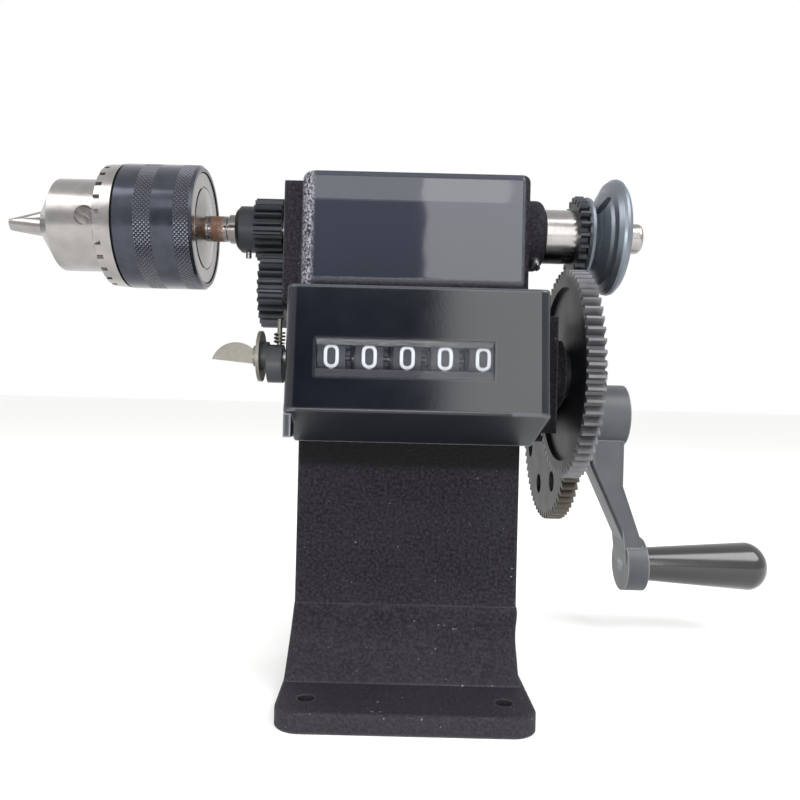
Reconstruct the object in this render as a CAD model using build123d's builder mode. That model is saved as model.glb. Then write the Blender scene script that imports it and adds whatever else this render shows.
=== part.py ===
from build123d import *
import math
import os

# Hand-cranked wire coil winder with a keyed drill chuck, gear train and counter.
# Millimetres. +Z is up, +X runs along the spindle from the chuck to the crank, and -Y
# is the side with the counter. The origin is the middle of the base's underside.

os.makedirs("parts", exist_ok=True)

# ---------------------------------------------------------------- driving dimensions
# fits
running = 0.05  # radial clearance of a shaft in its bearing
seat = 0.02  # radial clearance of a piece fixed on its shaft
air = 0.4  # space between pieces that pass each other

# base and column
base_width = 79.0
base_depth = 120.0
base_thickness = 6.0
base_corner_r = 8.0
bolt_spacing_x = 60.8
bolt_spacing_y = 98.0
bolt_hole_r = 2.75
column_width = 73.0
column_front_setback = 23.0  # from the spindle axis to the column's front face
column_depth = 46.0
column_flare_left = 2.8
column_flare_right = 2.2
column_flare_front = 3.8
column_flare_height = 26.0
column_top_z = 135.0
column_corner_r = 2.0

# spindle and head
spindle_y = -11.0
spindle_z = 158.0
spindle_r = 6.0
head_left_x = -38.0
head_right_x = 39.2
head_half_depth = 18.0
head_rise = 17.0
head_edge_r = 2.5
head_corner_r = 5.0  # the upright front corner on the chuck's side
head_end_corner_r = 3.0  # the upright corners on the crank's side
left_block_length = 6.2
left_block_half_depth = 14.0
left_block_top_z = 172.5
left_block_low_z = 131.0
right_boss_r = 12.4
right_boss_length = 7.0
right_boss_end_r = 2.8
bush_r = 8.5
bush_length = 18.0

# chuck
chuck_face_x = -131.0
nose_tip_r = 6.5
nose_r = 16.1
nose_cone_length = 6.5
chuck_ring_x = -108.0
chuck_ring_length = 7.0
chuck_sleeve_length = 27.0
chuck_sleeve_r = 21.7
chuck_sleeve_wall = 2.2
chuck_teeth = 26
chuck_key_hole_r = 3.4
chuck_key_hole_x = -111.6
jaw_r = 3.0
jaw_angle = 15.0
jaw_tip_x = -144.3
jaw_length = 41.0
back_plate_dome = 1.0  # rise of the back plate from its rim to the arbor
back_plate_step_r = 14.0
arbor_r = 4.5
arbor_grip = 13.0

# counter drive on the spindle
counter_module = 1.0
counter_pinion_teeth = 20
counter_gear_teeth = 24
counter_pinion_width = 9.8
counter_gear_width = 8.6
counter_pinion_x = -55.5
counter_gear_x = -53.2
counter_hub_r = 8.2
counter_hub_chamfer = 1.5
counter_hub_length = 7.0
roll_pin_r = 1.0
roll_pin_proud = 2.1  # how far the pin stands out below the hub

# drive train on the right
high_module = 1.2
spindle_pinion_teeth = 22
big_gear_teeth = 60
spindle_pinion_x = 57.2
spindle_pinion_width = 2.9
big_gear_width = 5.8
low_module = 1.25
low_pinion_teeth = 20
crank_gear_teeth = 70
crank_gear_width = 6.0
crank_axis_drop = 15.2  # below the intermediate axis
crank_gear_hole_r = 4.3
crank_gear_hole_circle_r = 32.0
crank_gear_holes = 8
intermediate_shaft_r = 4.0
crank_shaft_r = 6.0

# collar and pulley on the spindle's right end
collar_r = 9.5
pulley_flange_r = 14.1
pulley_flange_width = 2.8
pulley_groove_r = 10.8
knob_r = 20.4
knob_width = 10.5
spindle_end_x = 81.8
spindle_end_r = 5.3
set_screw_r = 1.9

# crank
crank_radius = 64.0
crank_hub_r = 13.2
crank_hub_length = 23.0
crank_boss_r = 11.4
crank_boss_length = 8.8
crank_offset = 10.0
handle_length = 53.5
handle_neck_r = 7.0
handle_r = 10.2
handle_nose = 8.5  # length of the rounded end
handle_pin_recess = 14.0
handle_pin_r = 3.0

# counter
case_left_x = -38.0
case_right_x = 40.3
case_wall = 1.6
case_foot_y = -55.5
case_foot_depth = 8.0
case_foot_width = 2.2
case_foot_low_z = 86.4
case_edge_r = 3.2
case_front_top_y = -58.0
case_front_top_z = 131.7
case_front_low_y = -62.0
case_front_low_z = 94.3
case_back_low_z = 84.0
case_back_top_z = 134.2
window_left_x = -29.2
window_right_x = 23.5
window_low_z = 104.4
window_top_z = 115.8
pane_thickness = 0.8
pane_inset = 0.3
wheel_axis_y = -46.9
wheel_axis_z = 110.6
wheel_r = 11.4
wheel_width = 8.2
wheel_pitch = 11.18
first_wheel_x = -24.4
wheel_count = 5
wheel_shaft_r = 2.0
train_module = 0.7
train_pinion_teeth = 12
train_gear_teeth = 30
fine_module = 0.5
fine_pinion_teeth = 12
idler_teeth = 36
units_gear_teeth = 40
ring_teeth = 20
ring_module = 1.0
carry_teeth = 8
input_shaft_r = 2.0

# reset key
reset_hub_r = 5.9
reset_hub_length = 4.6
reset_hub_drop = 2.2  # the hub is a cam, off the wheels' axis
reset_washer_r = 7.8
wing_length = 13.0
wing_r = 6.4
wing_thickness = 1.0
reset_pin_r = 0.75

# ---------------------------------------------------------------- derived places
column_front_y = spindle_y - column_front_setback
column_back_y = column_front_y + column_depth
head_front_y = spindle_y - head_half_depth
head_back_y = spindle_y + head_half_depth
head_top_z = spindle_z + head_rise
left_block_x = head_left_x - left_block_length
right_boss_end_x = head_right_x + right_boss_length
high_centres = high_module * (spindle_pinion_teeth + big_gear_teeth) / 2
low_centres = low_module * (low_pinion_teeth + crank_gear_teeth) / 2
big_axis = (spindle_y, spindle_z - high_centres)
crank_axis = (
    spindle_y + math.sqrt(low_centres**2 - crank_axis_drop**2),
    big_axis[1] - crank_axis_drop,
)
spindle_axis = (spindle_y, spindle_z)
wheel_axis = (wheel_axis_y, wheel_axis_z)
big_gear_x = spindle_pinion_x + spindle_pinion_width - big_gear_width
low_pinion_x = spindle_pinion_x + spindle_pinion_width + air
crank_gear_x = low_pinion_x + air
counter_centres = counter_module * (counter_pinion_teeth + counter_gear_teeth) / 2


def pitch_r(module, teeth):
    return module * teeth / 2


def angle_between(start, end):
    """Direction from one axis to another in the YZ plane, in degrees from +Y."""
    return math.degrees(math.atan2(end[1] - start[1], end[0] - start[0]))


def meeting_point(first, first_r, second, second_r, side):
    """Where circles about two axes cross, on the chosen side of their centre line."""
    span = math.dist(first, second)
    along = (first_r**2 - second_r**2 + span**2) / (2 * span)
    across = side * math.sqrt(first_r**2 - along**2)
    unit_y = (second[0] - first[0]) / span
    unit_z = (second[1] - first[1]) / span
    return (
        first[0] + along * unit_y - across * unit_z,
        first[1] + along * unit_z + across * unit_y,
    )


def gear_outline(module, teeth, tooth_angle, backlash=0.10, pressure=20.0):
    """Corners of a spur gear about the origin, with a tooth centred on tooth_angle."""
    pitch = pitch_r(module, teeth)
    base = pitch * math.cos(math.radians(pressure))
    root = pitch - 1.25 * module
    tip = pitch + 0.95 * module

    def involute(radius):
        swing = math.acos(min(1.0, base / radius))
        return math.tan(swing) - swing

    def half_tooth(radius):
        half = math.pi / (2 * teeth) - backlash / (2 * pitch)
        return half + involute(pitch) - involute(max(radius, base))

    slim_root = 1.0 if root > base else 0.86
    flank = [(root, half_tooth(root) * slim_root)]
    flank += [(r, half_tooth(r)) for r in (max(base, root + 0.3 * module), pitch, tip)]
    corners = []
    for tooth in range(teeth):
        middle = math.radians(tooth_angle) + 2 * math.pi * tooth / teeth
        for radius, half in flank:
            corners.append((radius * math.cos(middle - half), radius * math.sin(middle - half)))
        for radius, half in reversed(flank):
            corners.append((radius * math.cos(middle + half), radius * math.sin(middle + half)))
    return corners


def meshing_angle(own_axis, other_axis, other_teeth, other_tooth_angle, own_teeth):
    """Tooth angle that puts this gear in mesh with another one that is already placed."""
    to_own = angle_between(other_axis, own_axis)
    pitch_angle = 360 / other_teeth
    phase = ((to_own - other_tooth_angle) / pitch_angle) % 1.0
    return to_own + 180 + (phase - 0.5) * 360 / own_teeth


def across(x, axis=(0.0, 0.0)):
    """Plane square to X at x, with its origin on an axis and its first direction +Y."""
    return Plane(origin=(x, axis[0], axis[1]), x_dir=(0, 1, 0), z_dir=(1, 0, 0))


def save(piece, name):
    piece.part.label = name
    export_step(piece.part, f"parts/{name}.step")


# ---------------------------------------------------------------- places of the counter train
counter_gear_axis = (spindle_y, spindle_z - counter_centres)
train_centres = train_module * (train_pinion_teeth + train_gear_teeth) / 2
fine_pinion_reach = fine_module * (fine_pinion_teeth + idler_teeth) / 2
idler_reach = fine_module * (idler_teeth + units_gear_teeth) / 2
train_lean = math.radians(234.0)
train_axis = (
    counter_gear_axis[0] + train_centres * math.cos(train_lean),
    counter_gear_axis[1] + train_centres * math.sin(train_lean),
)
print("counter gear axis", counter_gear_axis, "train axis", train_axis)
print("big gear axis", big_axis, "crank axis", crank_axis)
print("train to wheel", math.dist(train_axis, wheel_axis), fine_pinion_reach + idler_reach)


def turned(steps, axis=spindle_axis):
    """Solid of revolution about an X axis, from (start x, end x, radius) steps."""
    with BuildPart() as piece:
        for start, end, radius in steps:
            with BuildSketch(across(start, axis)):
                Circle(radius)
            extrude(amount=end - start)
    return piece.part


def lathed(profile, axis=spindle_axis):
    """Solid of revolution about an X axis, from (x, radius) corners down to the axis."""
    with BuildPart() as piece:
        with BuildSketch(Plane(origin=(0, axis[0], axis[1]), x_dir=(1, 0, 0), z_dir=(0, -1, 0))):
            with BuildLine():
                Polyline((profile[0][0], 0), *profile, (profile[-1][0], 0), close=True)
            make_face()
        revolve(axis=Axis((0, axis[0], axis[1]), (1, 0, 0)))
    return piece.part


def ring(start, width, outer, inner, axis=spindle_axis):
    """Plain ring or bush about an X axis."""
    with BuildPart() as piece:
        with BuildSketch(across(start, axis)):
            Circle(outer)
            Circle(inner, mode=Mode.SUBTRACT)
        extrude(amount=width)
    return piece.part


def spur_gear(start, width, axis, module, teeth, tooth_angle, bore):
    """Spur gear about an X axis."""
    with BuildPart() as piece:
        with BuildSketch(across(start, axis)):
            with BuildLine():
                Polyline(*gear_outline(module, teeth, tooth_angle), close=True)
            make_face()
            Circle(bore, mode=Mode.SUBTRACT)
        extrude(amount=width)
    return piece.part


# ---------------------------------------------------------------- places of the counter train
idler_axis = meeting_point(train_axis, fine_pinion_reach, wheel_axis, idler_reach, 1)
print("idler axis", idler_axis)
wheel_xs = [first_wheel_x + wheel_pitch * number for number in range(wheel_count)]
units_gear_x = wheel_xs[-1] + wheel_width / 2
units_gear_width = 3.0
train_gear_x = units_gear_x + units_gear_width + 0.8
train_gear_width = 3.0
pocket_left_x = units_gear_x + 0.2
pocket_right_x = train_gear_x + train_gear_width + 0.6
input_pinion_angle = 0.0
train_gear_angle = meshing_angle(
    train_axis, counter_gear_axis, train_pinion_teeth, input_pinion_angle, train_gear_teeth
)
fine_pinion_angle = 0.0
idler_angle = meshing_angle(
    idler_axis, train_axis, fine_pinion_teeth, fine_pinion_angle, idler_teeth
)
units_gear_angle = meshing_angle(
    wheel_axis, idler_axis, idler_teeth, idler_angle, units_gear_teeth
)
train_pin_r = 1.5
idler_pin_r = 1.25

# ---------------------------------------------------------------- frame casting
bracket_x = 50.4
bracket_face_x = big_gear_x - air
bracket_boss_r = 12.0
bridge_depth = 26.0
bridge_height = 40.0
bridge_middle_z = 108.0
crank_boss_face_x = crank_gear_x - air
overlap = 1.0  # how deep the casting's lumps are sunk into each other
flare_steps = 5
base_rim_r = 1.2
pocket_margin = 1.8
pocket_wall = 2.6
pocket_top_z = counter_gear_axis[1] + pitch_r(train_module, train_pinion_teeth) + pocket_margin
pocket_back_y = pocket_margin + max(
    train_axis[0] + pitch_r(train_module, train_gear_teeth),
    counter_gear_axis[0] + pitch_r(train_module, train_pinion_teeth),
)
pocket_floor_z = idler_axis[1] - pitch_r(fine_module, idler_teeth) - pocket_margin
train_pin_depth = 5.0  # of the train's pins in the casting
intermediate_shaft_x = pocket_right_x + 1.6
bush_screw_x = head_right_x + 3.6
bush_screw_r = 1.6
bush_screw_reach = 15.6  # from the spindle axis to the screw's head
bush_screw_turn = math.radians(236.0)
bush_screw_direction = Vector(0, math.cos(bush_screw_turn), math.sin(bush_screw_turn))
bush_screw_plane = Plane(
    origin=Vector(bush_screw_x, *spindle_axis) + bush_screw_direction * (bush_r + seat),
    z_dir=bush_screw_direction,
)

with BuildPart() as frame_casting:
    with BuildSketch():
        RectangleRounded(base_width, base_depth, base_corner_r)
    extrude(amount=base_thickness)
    base_rim = frame_casting.faces().sort_by(Axis.Z)[-1].edges()
    fillet(base_rim, radius=base_rim_r)
    # the column's foot spreads in a curve in front and behind, and straight on the left
    column_middle_y = (column_front_y + column_back_y) / 2
    for step in range(flare_steps + 1):
        quarter = step / flare_steps * math.pi / 2
        climb = 1 - math.cos(quarter)
        curve = 1 - math.sin(quarter)
        left_spread = column_flare_left * (1 - climb)
        right_spread = column_flare_right * curve
        with BuildSketch(Plane.XY.offset(base_thickness - overlap + column_flare_height * climb)):
            with Locations(((right_spread - left_spread) / 2, column_middle_y)):
                RectangleRounded(
                    column_width + left_spread + right_spread,
                    column_depth + 2 * column_flare_front * curve,
                    column_corner_r,
                )
    loft()
    with BuildSketch(Plane.XY.offset(base_thickness)):
        with Locations((0, column_middle_y)):
            RectangleRounded(column_width, column_depth, column_corner_r)
    extrude(amount=column_top_z - base_thickness)
    # head
    with BuildSketch(Plane.XY.offset(column_top_z)) as head_plan:
        with Locations(((head_left_x + head_right_x) / 2, spindle_y)):
            Rectangle(head_right_x - head_left_x, 2 * head_half_depth)
        chuck_side_corner = head_plan.vertices().group_by(Axis.X)[0].sort_by(Axis.Y)[0]
        fillet(chuck_side_corner, radius=head_corner_r)
        fillet(head_plan.vertices().group_by(Axis.X)[-1], radius=head_end_corner_r)
    extrude(amount=head_top_z - column_top_z)
    fillet(frame_casting.faces().sort_by(Axis.Z)[-1].edges(), radius=head_edge_r)
    # block on the chuck's side, which also carries the counter's input shaft
    with BuildSketch(across(left_block_x, (spindle_y, 0))):
        with Locations((0, (left_block_low_z + left_block_top_z) / 2)):
            RectangleRounded(
                2 * left_block_half_depth, left_block_top_z - left_block_low_z, column_corner_r
            )
    extrude(amount=left_block_length + column_corner_r)
    # boss on the crank's side
    with BuildSketch(across(head_right_x - overlap, spindle_axis)):
        Circle(right_boss_r)
    extrude(amount=right_boss_length + overlap)
    fillet(frame_casting.faces().sort_by(Axis.X)[-1].edges(), radius=right_boss_end_r)
    # bracket beside the column that carries the intermediate and crank shafts
    with BuildSketch(across(bracket_x)):
        with Locations(big_axis, crank_axis):
            Circle(bracket_boss_r)
        make_hull()
    extrude(amount=bracket_face_x - bracket_x)
    with BuildSketch(across(column_width / 2 - overlap)):
        with Locations((big_axis[0], bridge_middle_z)):
            Rectangle(bridge_depth, bridge_height)
    extrude(amount=bracket_x - column_width / 2 + overlap)
    with BuildSketch(across(bracket_x, crank_axis)):
        Circle(bracket_boss_r)
    extrude(amount=crank_boss_face_x - bracket_x)
    # bores
    with BuildSketch(across(left_block_x, spindle_axis)):
        Circle(spindle_r + 1.0)
    extrude(amount=right_boss_end_x - left_block_x, mode=Mode.SUBTRACT)
    for bush_x in (left_block_x, right_boss_end_x - bush_length):
        with BuildSketch(across(bush_x, spindle_axis)):
            Circle(bush_r + seat)
        extrude(amount=bush_length, mode=Mode.SUBTRACT)
    with BuildSketch(bush_screw_plane):
        Circle(bush_screw_r + seat)
    extrude(amount=bush_screw_reach, mode=Mode.SUBTRACT)
    with BuildSketch(across(left_block_x, counter_gear_axis)):
        Circle(input_shaft_r + running)
    extrude(amount=column_width / 2 - 2 - left_block_x, mode=Mode.SUBTRACT)
    with BuildSketch(across(intermediate_shaft_x - overlap / 2, big_axis)):
        Circle(intermediate_shaft_r + running)
    extrude(amount=bracket_face_x - intermediate_shaft_x + overlap, mode=Mode.SUBTRACT)
    with BuildSketch(across(bracket_x, crank_axis)):
        Circle(crank_shaft_r + running)
    extrude(amount=crank_boss_face_x - bracket_x, mode=Mode.SUBTRACT)
    # pocket behind the counter for its reduction gears
    with BuildSketch(across(pocket_left_x)):
        with BuildLine():
            Polyline(
                (column_front_y - overlap, pocket_floor_z),
                (column_front_y - overlap, column_top_z - overlap),
                (head_front_y + pocket_wall, column_top_z - overlap),
                (head_front_y + pocket_wall, pocket_top_z),
                (pocket_back_y, pocket_top_z),
                (pocket_back_y, pocket_floor_z),
                close=True,
            )
        make_face()
    extrude(amount=pocket_right_x - pocket_left_x, mode=Mode.SUBTRACT)
    for pin_axis, pin_radius in ((train_axis, train_pin_r), (idler_axis, idler_pin_r)):
        with BuildSketch(across(pocket_left_x - train_pin_depth, pin_axis)):
            Circle(pin_radius + seat)
        extrude(
            amount=pocket_right_x - pocket_left_x + 1.6 * train_pin_depth, mode=Mode.SUBTRACT
        )
    # base bolt holes
    with BuildSketch():
        with GridLocations(bolt_spacing_x, bolt_spacing_y, 2, 2):
            Circle(bolt_hole_r)
    extrude(amount=base_thickness, mode=Mode.SUBTRACT)
save(frame_casting, "frame_casting")

screw_slot_width = 0.8
screw_slot_depth = 0.9
with BuildPart() as bush_screw:
    with BuildSketch(bush_screw_plane):
        Circle(bush_screw_r)
    extrude(amount=bush_screw_reach - bush_r)
    with BuildSketch(bush_screw_plane.offset(bush_screw_reach - bush_r)):
        Rectangle(2.2 * bush_screw_r, screw_slot_width)
    extrude(amount=-screw_slot_depth, mode=Mode.SUBTRACT)
save(bush_screw, "bush_screw")

# ---------------------------------------------------------------- spindle and what turns with it
with BuildPart() as spindle_bush_left:
    add(ring(left_block_x, bush_length, bush_r, spindle_r + running))
save(spindle_bush_left, "spindle_bush_left")

with BuildPart() as spindle_bush_right:
    add(ring(right_boss_end_x - bush_length, bush_length, bush_r, spindle_r + running))
save(spindle_bush_right, "spindle_bush_right")

chuck_back_x = chuck_ring_x + chuck_ring_length + chuck_sleeve_length
back_plate_end_x = chuck_back_x + back_plate_dome
counter_hub_x = counter_pinion_x - counter_hub_length
counter_pinion_end_x = counter_pinion_x + counter_pinion_width
roll_pin_x = counter_hub_x + counter_hub_length / 2 + 0.4
roll_pin_length = 2 * counter_hub_r + roll_pin_proud
roll_pin_plane = Plane.XY.offset(spindle_z - counter_hub_r - roll_pin_proud)
collar_x = right_boss_end_x + air
collar_length = spindle_pinion_x - collar_x
pulley_x = spindle_pinion_x + spindle_pinion_width + air
pulley_length = pulley_flange_width + knob_width
arbor_step_x = counter_hub_x - 2.6
arbor_groove = 1.0
with BuildPart() as spindle_shaft:
    add(
        turned(
            [
                (back_plate_end_x - arbor_grip, arbor_step_x - arbor_groove, arbor_r),
                (arbor_step_x - arbor_groove, arbor_step_x, arbor_r - 0.7),
                (arbor_step_x, counter_hub_x, arbor_r + 0.6),
                (counter_hub_x, counter_pinion_end_x, arbor_r + 0.2),
                (counter_pinion_end_x, pulley_x + pulley_length - 1, spindle_r),
                (pulley_x + pulley_length - 1, spindle_end_x, spindle_end_r),
            ]
        )
    )
    tail = spindle_shaft.edges().filter_by(GeomType.CIRCLE).sort_by(Axis.X)[-1]
    fillet(tail, radius=1.6)
    with BuildSketch(roll_pin_plane):
        with Locations((roll_pin_x, spindle_y)):
            Circle(roll_pin_r + seat)
    extrude(amount=roll_pin_length + overlap, mode=Mode.SUBTRACT)
save(spindle_shaft, "spindle_shaft")

with BuildPart() as counter_pinion:
    add(
        spur_gear(
            counter_pinion_x,
            counter_pinion_width,
            spindle_axis,
            counter_module,
            counter_pinion_teeth,
            0.0,
            arbor_r + 0.2 + seat,
        )
    )
    add(ring(counter_hub_x, counter_hub_length, counter_hub_r, arbor_r + 0.2 + seat))
    hub_rims = counter_pinion.edges().filter_by(GeomType.CIRCLE).group_by(Axis.X)[0]
    chamfer(hub_rims.sort_by(SortBy.RADIUS)[-1], length=counter_hub_chamfer)
    with BuildSketch(roll_pin_plane):
        with Locations((roll_pin_x, spindle_y)):
            Circle(roll_pin_r + seat)
    extrude(amount=roll_pin_length + overlap, mode=Mode.SUBTRACT)
save(counter_pinion, "counter_pinion")

with BuildPart() as roll_pin:
    with BuildSketch(roll_pin_plane):
        with Locations((roll_pin_x, spindle_y)):
            Circle(roll_pin_r)
    extrude(amount=roll_pin_length - 0.4)
save(roll_pin, "roll_pin")

with BuildPart() as spindle_collar:
    add(ring(collar_x, collar_length, collar_r, spindle_r + seat))
save(spindle_collar, "spindle_collar")

spindle_pinion_angle = 90.0
with BuildPart() as spindle_pinion:
    add(
        spur_gear(
            spindle_pinion_x,
            spindle_pinion_width,
            spindle_axis,
            high_module,
            spindle_pinion_teeth,
            spindle_pinion_angle,
            spindle_r + seat,
        )
    )
save(spindle_pinion, "spindle_pinion")

with BuildPart() as belt_pulley:
    groove_x = pulley_x + pulley_flange_width
    knob_x = groove_x + knob_width
    add(
        lathed(
            [
                (pulley_x, pulley_flange_r - 1.0),
                (pulley_x + 0.9, pulley_flange_r),
                (groove_x - 0.9, pulley_flange_r - 0.3),
                (groove_x + 0.6, pulley_groove_r),
                (groove_x + 1.6, pulley_groove_r + 1.4),
                (groove_x + 3.4, pulley_groove_r + 5.2),
                (groove_x + 4.4, knob_r - 3.6),
                (groove_x + 5.1, knob_r - 1.3),
                (groove_x + 6.6, knob_r - 0.2),
                (groove_x + 7.6, knob_r),
                (groove_x + 8.6, knob_r - 0.3),
                (groove_x + 9.8, knob_r - 1.7),
                (knob_x, knob_r - 3.8),
                (knob_x - 0.6, knob_r - 6.0),
                (knob_x - 2.2, knob_r - 7.6),
                (knob_x - 2.2, spindle_r + 3.5),
                (knob_x - 1.0, spindle_r + 2.8),
            ]
        )
    )
    with BuildSketch(across(pulley_x, spindle_axis)):
        Circle(spindle_r + seat)
    extrude(amount=pulley_length, mode=Mode.SUBTRACT)
    screw_turn = 42.0
    screw_direction = Vector(
        0, -math.cos(math.radians(screw_turn)), math.sin(math.radians(screw_turn))
    )
    screw_x = groove_x + 2.2
    screw_foot = Vector(screw_x, *spindle_axis) + screw_direction * (spindle_r + 0.1)
    with BuildSketch(Plane(origin=screw_foot, z_dir=screw_direction)):
        Circle(set_screw_r + seat)
    extrude(amount=knob_r, mode=Mode.SUBTRACT)
save(belt_pulley, "belt_pulley")

with BuildPart() as pulley_set_screw:
    with BuildSketch(Plane(origin=screw_foot, z_dir=screw_direction)):
        Circle(set_screw_r)
    extrude(amount=4.0)
    with BuildSketch(Plane(origin=screw_foot + screw_direction * 4.0, z_dir=screw_direction)):
        RegularPolygon(set_screw_r * 0.55, 6)
    extrude(amount=-1.5, mode=Mode.SUBTRACT)
save(pulley_set_screw, "pulley_set_screw")

# ---------------------------------------------------------------- keyed chuck
jaw_lean = math.radians(jaw_angle)
jaw_tip_reach = 1.8  # outer radius of the closed jaws at their tips
jaw_cross_x = jaw_tip_x + (jaw_r / math.cos(jaw_lean) - jaw_tip_reach) / math.tan(jaw_lean)
nut_x = chuck_ring_x + chuck_ring_length + air
nut_length = 5.2
jaw_reach_at_nut = (nut_x + nut_length - jaw_cross_x) * math.tan(jaw_lean)
jaw_reach_at_nut += jaw_r / math.cos(jaw_lean)
sleeve_bore_r = chuck_sleeve_r - chuck_sleeve_wall
chuck_body_end_x = chuck_back_x - 1.6
jaw_count = 3
jaw_gap = 0.12


def jaw_frame(turn):
    """Outward direction of a jaw and the direction in which it opens."""
    outward = Vector(0, -math.cos(math.radians(turn)), math.sin(math.radians(turn)))
    opening = Vector(math.cos(jaw_lean), 0, 0) + outward * math.sin(jaw_lean)
    return outward, opening


jaw_turns = [90 + 360 / jaw_count * number for number in range(jaw_count)]
crossing = Vector(jaw_cross_x, *spindle_axis)

with BuildPart() as chuck_body:
    add(
        turned(
            [
                (chuck_face_x + nose_cone_length, nut_x - air, nose_r),
                (nut_x - air, nut_x + nut_length + air, jaw_reach_at_nut - 0.6),
                (nut_x + nut_length + air, chuck_body_end_x, sleeve_bore_r - running),
            ]
        )
    )
    add(
        lathed(
            [
                (chuck_face_x, nose_tip_r),
                (chuck_face_x + nose_cone_length, nose_r),
                (chuck_face_x + nose_cone_length + 1, nose_r),
            ]
        )
    )
    for turn in jaw_turns:
        outward, opening = jaw_frame(turn)
        with BuildSketch(Plane(origin=crossing, z_dir=opening)):
            Circle(jaw_r + running)
        bore_length = (chuck_body_end_x - 8 - jaw_cross_x) / math.cos(jaw_lean)
        extrude(amount=bore_length, mode=Mode.SUBTRACT)
    for turn in jaw_turns:
        key_outward = jaw_frame(turn + 30)[0]
        key_foot = Vector(chuck_key_hole_x, *spindle_axis) + key_outward * (nose_r - 6)
        with BuildSketch(Plane(origin=key_foot, z_dir=key_outward)):
            Circle(chuck_key_hole_r)
        extrude(amount=10, mode=Mode.SUBTRACT)
    with BuildSketch(across(back_plate_end_x - arbor_grip - 0.5, spindle_axis)):
        Circle(arbor_r + seat)
    extrude(amount=arbor_grip, mode=Mode.SUBTRACT)
save(chuck_body, "chuck_body")

for number, turn in enumerate(jaw_turns):
    outward, opening = jaw_frame(turn)
    sideways = outward.cross(Vector(1, 0, 0))
    with BuildPart() as chuck_jaw:
        with BuildSketch(Plane(origin=crossing - opening * 12, z_dir=opening)):
            Circle(jaw_r)
        extrude(amount=jaw_length + 12)
        with BuildSketch(
            Plane(origin=(jaw_tip_x, *spindle_axis), x_dir=sideways, z_dir=(1, 0, 0))
        ):
            with BuildLine():
                Polyline((0, jaw_gap), (-30, jaw_gap + 17.3), (-30, 40), (30, 40),
                         (30, jaw_gap + 17.3), close=True)
            make_face()
        extrude(amount=jaw_length, mode=Mode.INTERSECT)
    save(chuck_jaw, f"chuck_jaw_{number + 1}")

with BuildPart() as chuck_sleeve:
    sleeve_x = chuck_ring_x + chuck_ring_length
    add(ring(sleeve_x, chuck_sleeve_length, chuck_sleeve_r, sleeve_bore_r))
    sleeve_rims = chuck_sleeve.edges().filter_by(GeomType.CIRCLE).sort_by(SortBy.RADIUS)[-2:]
    chamfer(sleeve_rims, length=0.9)
save(chuck_sleeve, "chuck_sleeve")

with BuildPart() as chuck_gear_ring:
    add(
        lathed(
            [
                (chuck_ring_x, chuck_sleeve_r - 3.0),
                (chuck_ring_x + 1.2, chuck_sleeve_r - 0.6),
                (chuck_ring_x + chuck_ring_length, chuck_sleeve_r - 0.2),
            ]
        )
    )
    with BuildSketch(across(chuck_ring_x, spindle_axis)):
        Circle(nose_r + running)
    extrude(amount=chuck_ring_length, mode=Mode.SUBTRACT)
    with BuildSketch(across(chuck_ring_x, spindle_axis)):
        with PolarLocations(chuck_sleeve_r - 1.0, chuck_teeth):
            Trapezoid(2.6, 5.0, 100, rotation=90)
    extrude(amount=3.4, mode=Mode.SUBTRACT)
save(chuck_gear_ring, "chuck_gear_ring")

with BuildPart() as chuck_nut:
    add(ring(nut_x, nut_length, sleeve_bore_r - seat, jaw_reach_at_nut + 0.15))
save(chuck_nut, "chuck_nut")

back_plate_rim_x = chuck_back_x - air
with BuildPart() as chuck_back_plate:
    add(
        lathed(
            [
                (chuck_body_end_x, sleeve_bore_r - air),
                (back_plate_rim_x, sleeve_bore_r - air),
                (back_plate_rim_x, back_plate_step_r + 0.6),
                (back_plate_rim_x - 0.5, back_plate_step_r + 0.6),
                (back_plate_rim_x - 0.5, back_plate_step_r),
                (back_plate_rim_x + 0.2, back_plate_step_r),
                (back_plate_end_x, arbor_r + 2.0),
            ]
        )
    )
    with BuildSketch(across(chuck_body_end_x, spindle_axis)):
        Circle(arbor_r + seat)
    extrude(amount=back_plate_end_x - chuck_body_end_x, mode=Mode.SUBTRACT)
save(chuck_back_plate, "chuck_back_plate")

# ---------------------------------------------------------------- gears between crank and spindle
big_gear_angle = meshing_angle(
    big_axis, spindle_axis, spindle_pinion_teeth, spindle_pinion_angle, big_gear_teeth
)
low_pinion_angle = 0.0
crank_gear_angle = meshing_angle(
    crank_axis, big_axis, low_pinion_teeth, low_pinion_angle, crank_gear_teeth
)
low_pinion_width = crank_gear_width + 0.8
web_recess = 1.7
big_rim_r = pitch_r(high_module, big_gear_teeth) - 5.0
big_hub_r = 9.0

with BuildPart() as intermediate_gear:
    add(
        spur_gear(
            big_gear_x,
            big_gear_width,
            big_axis,
            high_module,
            big_gear_teeth,
            big_gear_angle,
            intermediate_shaft_r + seat,
        )
    )
    for recess_x in (big_gear_x, big_gear_x + big_gear_width - web_recess):
        with BuildSketch(across(recess_x, big_axis)):
            Circle(big_rim_r)
            Circle(big_hub_r, mode=Mode.SUBTRACT)
        extrude(amount=web_recess, mode=Mode.SUBTRACT)
save(intermediate_gear, "intermediate_gear")

low_pinion_end_x = low_pinion_x + low_pinion_width
clip_width = 1.4
with BuildPart() as intermediate_pinion:
    add(
        spur_gear(
            low_pinion_x,
            low_pinion_width,
            big_axis,
            low_module,
            low_pinion_teeth,
            low_pinion_angle,
            intermediate_shaft_r + seat,
        )
    )
    add(
        ring(
            big_gear_x + big_gear_width,
            low_pinion_x - big_gear_x - big_gear_width,
            big_hub_r,
            intermediate_shaft_r + seat,
            big_axis,
        )
    )
save(intermediate_pinion, "intermediate_pinion")

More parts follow.
